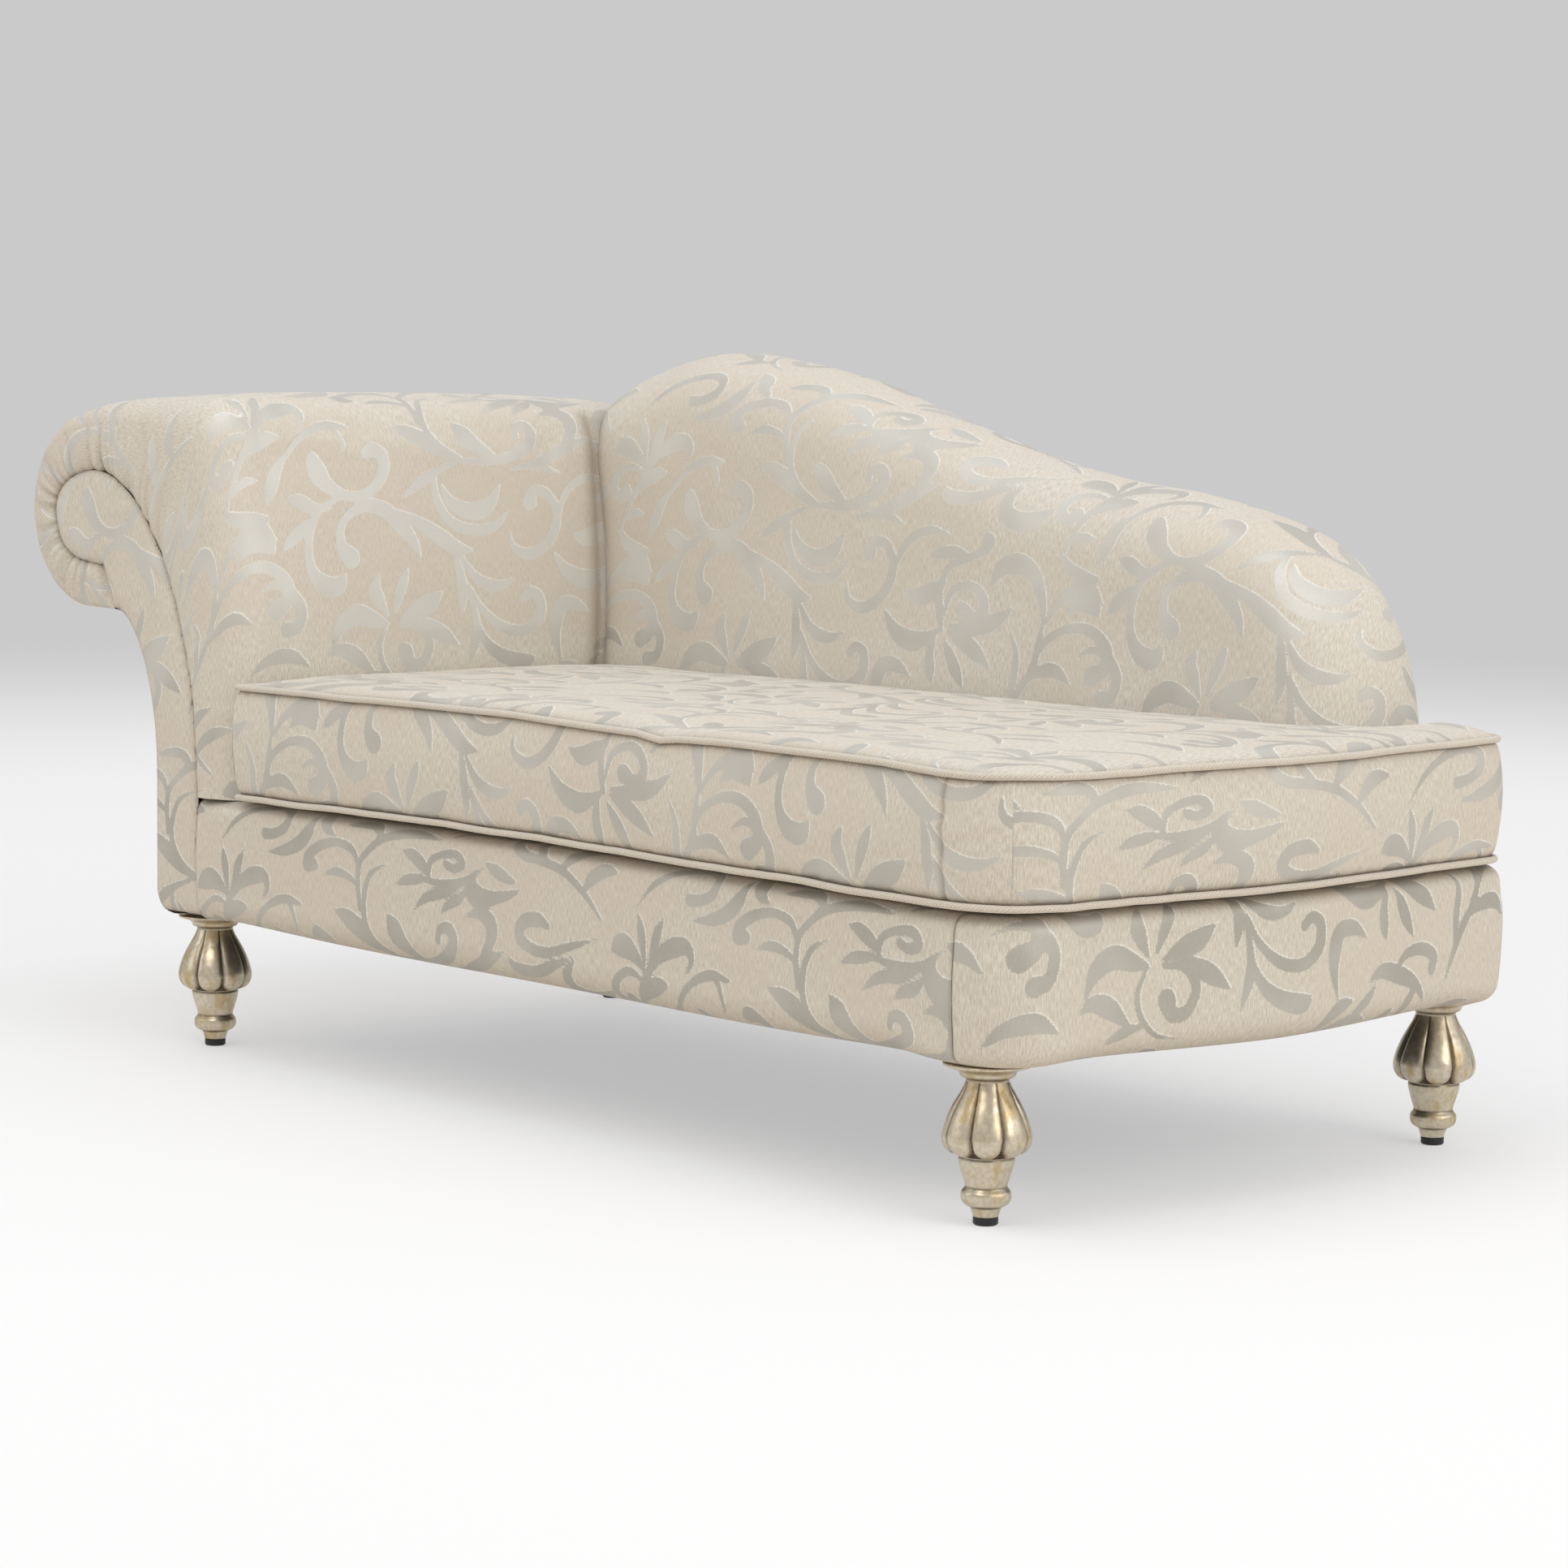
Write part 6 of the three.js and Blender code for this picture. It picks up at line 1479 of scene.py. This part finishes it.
# %% The outside back
def outside_back():
    edge = back_edge(500)
    way = with_normals(edge)
    way = -way if way[200, 1] < 0 else way
    line = softened(edge - 50.0 * softened(way, 30), 20)
    line = np.concatenate([line[::3], [(line[-1, 0], BACK_LOW), (line[0, 0], BACK_LOW)]])
    spots, faces, depth = filled(line, 6.0)
    puff = 1 - np.exp(-depth / 5.0)
    y = 716.5 + 8.5 * puff + 0.9 * noise(spots, 120.0, 161) * puff
    points = np.stack([spots[:, 0], y, spots[:, 1]], 1)
    # Painted shade along the panel's edges.
    return {"points": points, "faces": faces[:, ::-1], "cloth": spots * (-1, 1) + 260.0,
            "painted_shade": 0.8 * np.exp(-depth / 4.0)}


outside = cover("back_outside_cover", [outside_back()], DAMASK, hidden=lambda p: arm_reach(p) < -14.0)
finish_pad(outside, "frame", "back_rear_panel")


# %% The deck under the cushion
DECK_INSET = 42.5    # just under the inner edges of the borders


def deck():
    front = base_front(300)[1:] + (0, DECK_INSET)
    right, rear = END_FACE_X - DECK_INSET, REAR_FACE_Y - DECK_INSET
    line = np.concatenate([front, arc(0, 27, right, right, -80, 0, 8), base_end()[36:-24:4] - (DECK_INSET, 0),
                           [(right, rear), (front[0, 0], rear)]])
    spots, faces, depth = filled(line, 9.0)
    z = BASE_TOP + 0.3 - 0.7 * np.exp(-depth / 8.0)
    # Painted shade round the deck's edge, under the borders.
    return {"points": np.column_stack([spots, z]), "faces": faces, "cloth": spots + 150.0,
            "painted_shade": 0.5 * np.exp(-depth / 10.0)}


finish_pad(cover("deck_cover", [deck()], DAMASK), "frame", "deck_pad", fill=0.9)

# %% [markdown]
# ## The dust cover
#
# A thin black cloth closes the underside. It is cut from one length, with a square taken out at each foot,
# its edge is turned under and stapled to the rails, and it hangs a little between them.

# %% The cloth under the base
DUST_LEFT, DUST_INSET, POST_HALF = -1382.0, 44.0, 40.3
DUST_REAR = REAR_FACE_Y - DUST_INSET


def dust_outline():
    front = base_front(300) + (0, DUST_INSET)
    left, right = FOOT_SPOTS[1, 0] + POST_HALF, FOOT_SPOTS[0, 0] - POST_HALF
    side = base_end()[36:-24] - (DUST_INSET, 0)
    front_side, rear_side = FOOT_SPOTS[0, 1] + POST_HALF, FOOT_SPOTS[2, 1] - POST_HALF
    left_side = FOOT_SPOTS[1, 1] + POST_HALF
    return np.concatenate([
        [(DUST_LEFT, left_side), (left, left_side)], front[(front[:, 0] > left) & (front[:, 0] < right)],
        [(right, front_side)], side[(side[:, 1] > front_side) & (side[:, 1] < rear_side)],
        [(right, rear_side), (right, DUST_REAR), (left, DUST_REAR), (left, rear_side), (DUST_LEFT, rear_side)]])


def dust_cloth():
    """The cloth hung on the undersides of the borders, which sag a little themselves."""
    outline = dust_outline()
    spots, faces, depth = filled(outline, 7.0)
    x, y = spots.T
    near_foot = np.min([np.hypot(*(spots - foot).T) for foot in FOOT_SPOTS], axis=0)
    border_sag = mix(mix(9.0, 7.0, np.clip(y / DUST_REAR, 0, 1)), 5.0, bump(x, 75, 200))
    z = BASE_BOTTOM - 0.3 - border_sag * (1 - np.exp(-((near_foot / 260.0) ** 2)))
    z -= 1.4 * np.exp(-((near_foot / 85.0) ** 4)) + 4.0 * (1 - np.exp(-depth / 120.0))
    z -= 0.3 * (1 - np.clip((depth - 13) / 2.5, 0, 1))
    staple = np.sin((x + y) * 2 * np.pi / 38.0) * np.exp(-depth / 22.0)
    z += 0.2 * staple + 0.9 * noise(spots, 150.0, 191) * np.clip((depth - 30) / 90.0, 0, 1)
    return {"points": np.column_stack([spots, z]), "faces": faces[:, ::-1], "cloth": spots,
            "painted_shade": np.zeros(len(spots))}, outline


cloth_patch, cut = dust_cloth()
dust = cover("dust_cover_cloth", [cloth_patch], FINISHES["black_cloth"])
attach(dust, "frame")
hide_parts("dust_cover")

# %% [markdown]
# ## The carved feet
#
# Each foot is turned to a slim taper with a ring, and its bulb is then carved into eight long lobes with
# rounded lower ends. A turner would leave a plain bulb and a carver would cut the grooves between the
# lobes with a gouge. Here the same two steps are one formula: a turned radius, and a rounded lobe across
# each eighth of the turn. The depth of the groove is kept, so that the finish can darken it.

# %% A carved foot
FOOT_LINE = np.array([
    (8.3, 12.5), (13, 14.0), (17.5, 15.6), (19.5, 19.5), (21.5, 22.4), (25, 24.6), (29, 25.0), (33, 24.4),
    (36.5, 21.8), (38.5, 20.9), (42, 21.6), (50, 24.0), (59, 26.6), (65, 27.8), (67.5, 27.2), (69, 26.8),
])
BULB_LINE = np.array([
    (69, 28), (70.5, 34.0), (73, 38.5), (77, 41.8), (82, 43.8), (88, 44.2), (94, 43.2), (102, 40.8), (110, 37.6),
    (118, 33.8), (126, 29.2), (134, 24.7), (142, 21.3),
])
CAP_LINE = np.array([
    (142, 21.3), (143.5, 21.4), (145, 22.4), (146.2, 25.6), (147.6, 27.2), (150, 28.0), (152.4, 30.0), (154.4, 34.5),
    (155.6, 38.5), (156.6, 41.8), (157.6, 43.7), (159.2, 44.0), (160, 43.4),
])


def foot_grid(sides=176):
    angle = np.linspace(0, 2 * np.pi, sides + 1)
    rings, carved = [], []
    for z, r in curve_through(FOOT_LINE, 56):
        rings.append((z, np.full(sides + 1, r), np.zeros(sides + 1)))
    for z, r in curve_through(BULB_LINE, 96)[1:]:
        across = np.abs(((angle * 8 / (2 * np.pi) + 0.5) % 1.0) - 0.5) * 2
        half = math.sqrt(max(1 - ((81.0 - min(z, 81.0)) / 12.2) ** 2, 0.0))
        q = np.clip(across / max(0.97 * half, 0.02), 0, 1)
        recess = min(r - 0.5, max(28.6 + 0.62 * (z - 69.0), r - 6.2 if z > 90 else 0))
        recess = min(recess, r - 3.6 * min((142 - z) / 22.0, 1.0)) if z > 80 else recess
        lobe = np.sqrt(np.clip(1 - q ** 3.2, 0, 1)) ** 0.85
        rings.append((z, recess + (r - recess) * lobe, np.clip(q ** 11 * 1.1, 0, 1)))
    for z, r in curve_through(CAP_LINE, 50)[1:]:
        rings.append((z, np.full(sides + 1, r), np.full(sides + 1, 0.75 * math.exp(-abs(z - 144.5) / 2.2))))
    grid = np.zeros((len(rings) + 2, sides + 1, 3))
    groove = np.zeros(grid.shape[:2])
    for k, (z, radius, depth) in enumerate(rings, start=1):
        grid[k] = np.stack([radius * np.cos(angle), radius * np.sin(angle), np.full(sides + 1, z)], 1)
        groove[k] = depth
    grid[0], grid[-1] = (0, 0, rings[0][0]), (0, 0, rings[-1][0])
    for height, strength in ((18.6, 0.8), (38.0, 0.7), (67.5, 0.8)):
        groove[:] += strength * bump(grid[..., 2], height, 1.3) * (grid[..., 2] < 69)
    return grid, np.clip(groove, 0, 1)


FOOT_GRID, FOOT_GROOVE = foot_grid()


def carved_foot(name, centre, seed):
    grid = FOOT_GRID.copy()
    out = grid * (1, 1, 0)
    out /= np.maximum(np.linalg.norm(out, axis=-1, keepdims=True), 1e-6)
    turned = grid.copy()
    turned[:, -1] = turned[:, 0]
    wobble = 0.3 * noise(turned, 16.0, seed) + 0.12 * noise(turned, 5.0, seed + 1)
    grid[1:-1] += (out * wobble[..., None])[1:-1]
    grid += np.array([centre[0], centre[1], 0.0])
    rows, columns = grid.shape[:2]
    faces = grid_faces(rows, columns)[:, ::-1]
    points = grid.reshape(-1, 3)
    _, first, same = np.unique(np.round(points / 0.01).astype(np.int64), axis=0, return_index=True,
                               return_inverse=True)
    corners = same.reshape(-1)[faces]
    kept = corners != np.roll(corners, -1, axis=1)
    mesh = as_mesh(name, points[first], corners[kept], kept.sum(1))
    mesh.attributes.new("groove", "FLOAT", "CORNER").data.foreach_set(
        "value", FOOT_GROOVE.reshape(-1)[faces][kept].astype(np.float32))
    piece = in_scene(name, mesh, LEAF)
    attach(piece, "frame")
    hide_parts(name.replace("_carved", ""))
    print(name, len(mesh.polygons), "faces")


for k, (foot_name, spot) in enumerate(zip(
        ("foot_front_right", "foot_front_left", "foot_rear_right", "foot_rear_left"), FOOT_SPOTS)):
    carved_foot(foot_name + "_carved", spot, 201 + 10 * k)

# %% [markdown]
# ## The frame, the webbing and the small metal parts
#
# These stay as they were packed. They are seen from below or with the cushion lifted, and they only need
# their materials.

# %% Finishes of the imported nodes
slots = {entry["node"]: entry.get("material_slot") for entry in frame["record"].get("subparts", [])}
for node_name, node in frame["nodes"].items():
    finish = FINISHES.get(slots.get(node_name))
    if finish is not None:
        node.data.materials.clear()
        node.data.materials.append(finish)
print(len(frame["nodes"]), "packed nodes,", sum(s in FINISHES for s in slots.values()), "with their own finish")

# %% [markdown]
# ## The studio
#
# The photograph was taken in a soft studio light, with the brighter side at the front left and above. The
# camera stands low, to the right of the sofa, far enough away for the lines to stay nearly parallel.

# %% Floor, light and camera
BACKDROP = tone(202, 202, 202)


def seen_directly(tree):
    """1 where the camera sees a surface itself, in a mirror or through glass, 0 where it only lights others."""
    path = tree.nodes.new("ShaderNodeLightPath")
    total = path.outputs["Is Camera Ray"]
    for name in ("Is Glossy Ray", "Is Transmission Ray"):
        both = tree.nodes.new("ShaderNodeMath")
        both.operation, both.use_clamp = "ADD", True
        tree.links.new(total, both.inputs[0])
        tree.links.new(path.outputs[name], both.inputs[1])
        total = both.outputs[0]
    return total


def floor():
    low, high = HOME - 40.0, HOME + 40.0
    mesh = bpy.data.meshes.new("floor")
    mesh.from_pydata([(low[0], low[1], 0), (high[0], low[1], 0), (high[0], high[1], 0), (low[0], high[1], 0)], [],
                     [(0, 1, 2, 3)])
    s = Surface("floor", Roughness=0.9)
    s.set({"Base Color": s.blend(seen_directly(s.tree), tone(231, 222, 209), tone(240, 240, 240))})
    spot = s.put("ShaderNodeTexCoord", {}, 3)
    centre = (float(HOME[0]) - 0.75, float(HOME[1]) + 0.34, 0.0)
    away = s.put("ShaderNodeVectorMath", {0: spot, 1: centre}, 1, operation="DISTANCE")
    glow = s.put("ShaderNodeEmission", {"Color": s.blend(s.step(away, 1.6, 8.0), tone(255, 255, 255), BACKDROP)})
    share = s.math("MULTIPLY", seen_directly(s.tree), s.step(away, 0.8, 5.0, 0.45, 1.0))
    both = s.put("ShaderNodeMixShader", {0: share, 1: s.shader.outputs[0], 2: glow})
    s.tree.links.new(both, s.tree.nodes["Material Output"].inputs["Surface"])
    piece = in_scene("floor", mesh, s.material)


def lamp(name, spot, target, size, power, colour):
    light = bpy.data.lights.new(name, "AREA")
    light.shape, light.size, light.energy, light.color = "DISK", size, power, colour[:3]
    holder = bpy.data.objects.new(name, light)
    bpy.context.scene.collection.objects.link(holder)
    holder.location = HOME + np.array(spot)
    holder.rotation_euler = Vector(np.array(target) - np.array(spot)).to_track_quat("-Z", "Y").to_euler()


def world():
    sky = bpy.data.worlds.new("studio")
    bpy.context.scene.world = sky
    sky.use_nodes = True
    tree = sky.node_tree
    lit, seen = tree.nodes["Background"], tree.nodes.new("ShaderNodeBackground")
    lit.inputs["Color"].default_value, lit.inputs["Strength"].default_value = tone(250, 250, 252), 0.68
    seen.inputs["Color"].default_value, seen.inputs["Strength"].default_value = BACKDROP, 1.0
    choice = tree.nodes.new("ShaderNodeMixShader")
    tree.links.new(seen_directly(tree), choice.inputs["Fac"])
    tree.links.new(lit.outputs[0], choice.inputs[1])
    tree.links.new(seen.outputs[0], choice.inputs[2])
    tree.links.new(choice.outputs[0], tree.nodes["World Output"].inputs["Surface"])


def camera():
    a, e, roll = (math.radians(v) for v in (47.2, 5.67, 0.68))
    forward = np.array([-math.sin(a) * math.cos(e), math.cos(a) * math.cos(e), -math.sin(e)])
    right = np.array([math.cos(a), math.sin(a), 0])
    up = np.cross(right, forward)
    side = right * math.cos(roll) + up * math.sin(roll)
    top = -right * math.sin(roll) + up * math.cos(roll)
    spot = HOME + np.array([2920.6, -2978.9, 842.5]) * MM
    lens = bpy.data.cameras.new("camera")
    lens.lens, lens.sensor_width, lens.clip_end = 5349 / 1932 * 36, 36.0, 100.0
    holder = bpy.data.objects.new("camera", lens)
    bpy.context.scene.collection.objects.link(holder)
    columns = np.eye(4)
    columns[:3, 0], columns[:3, 1], columns[:3, 2], columns[:3, 3] = side, top, -forward, spot
    holder.matrix_world = Matrix(columns.tolist())
    bpy.context.scene.camera = holder


floor()
lamp("key_light", (0.4, -2.9, 3.8), (-0.7, 0.2, 0.4), 2.4, 36.5, tone(255, 246, 233))
lamp("side_light", (3.6, 0.6, 2.2), (-0.6, 0.2, 0.4), 2.6, 46.0, tone(255, 250, 243))
lamp("left_light", (-3.6, -3.2, 2.0), (-0.9, 0.3, 0.5), 2.4, 14.5, tone(255, 250, 243))
lamp("behind_light", (3.2, 3.2, 2.0), (-1.2, 0.3, 0.5), 2.4, 15.0, tone(253, 253, 255))
lamp("top_light", (-0.6, -0.4, 3.6), (-0.7, 0.3, 0.4), 2.4, 34.0, tone(246, 250, 255))
world()
camera()
bpy.context.scene.view_settings.view_transform = "Standard"
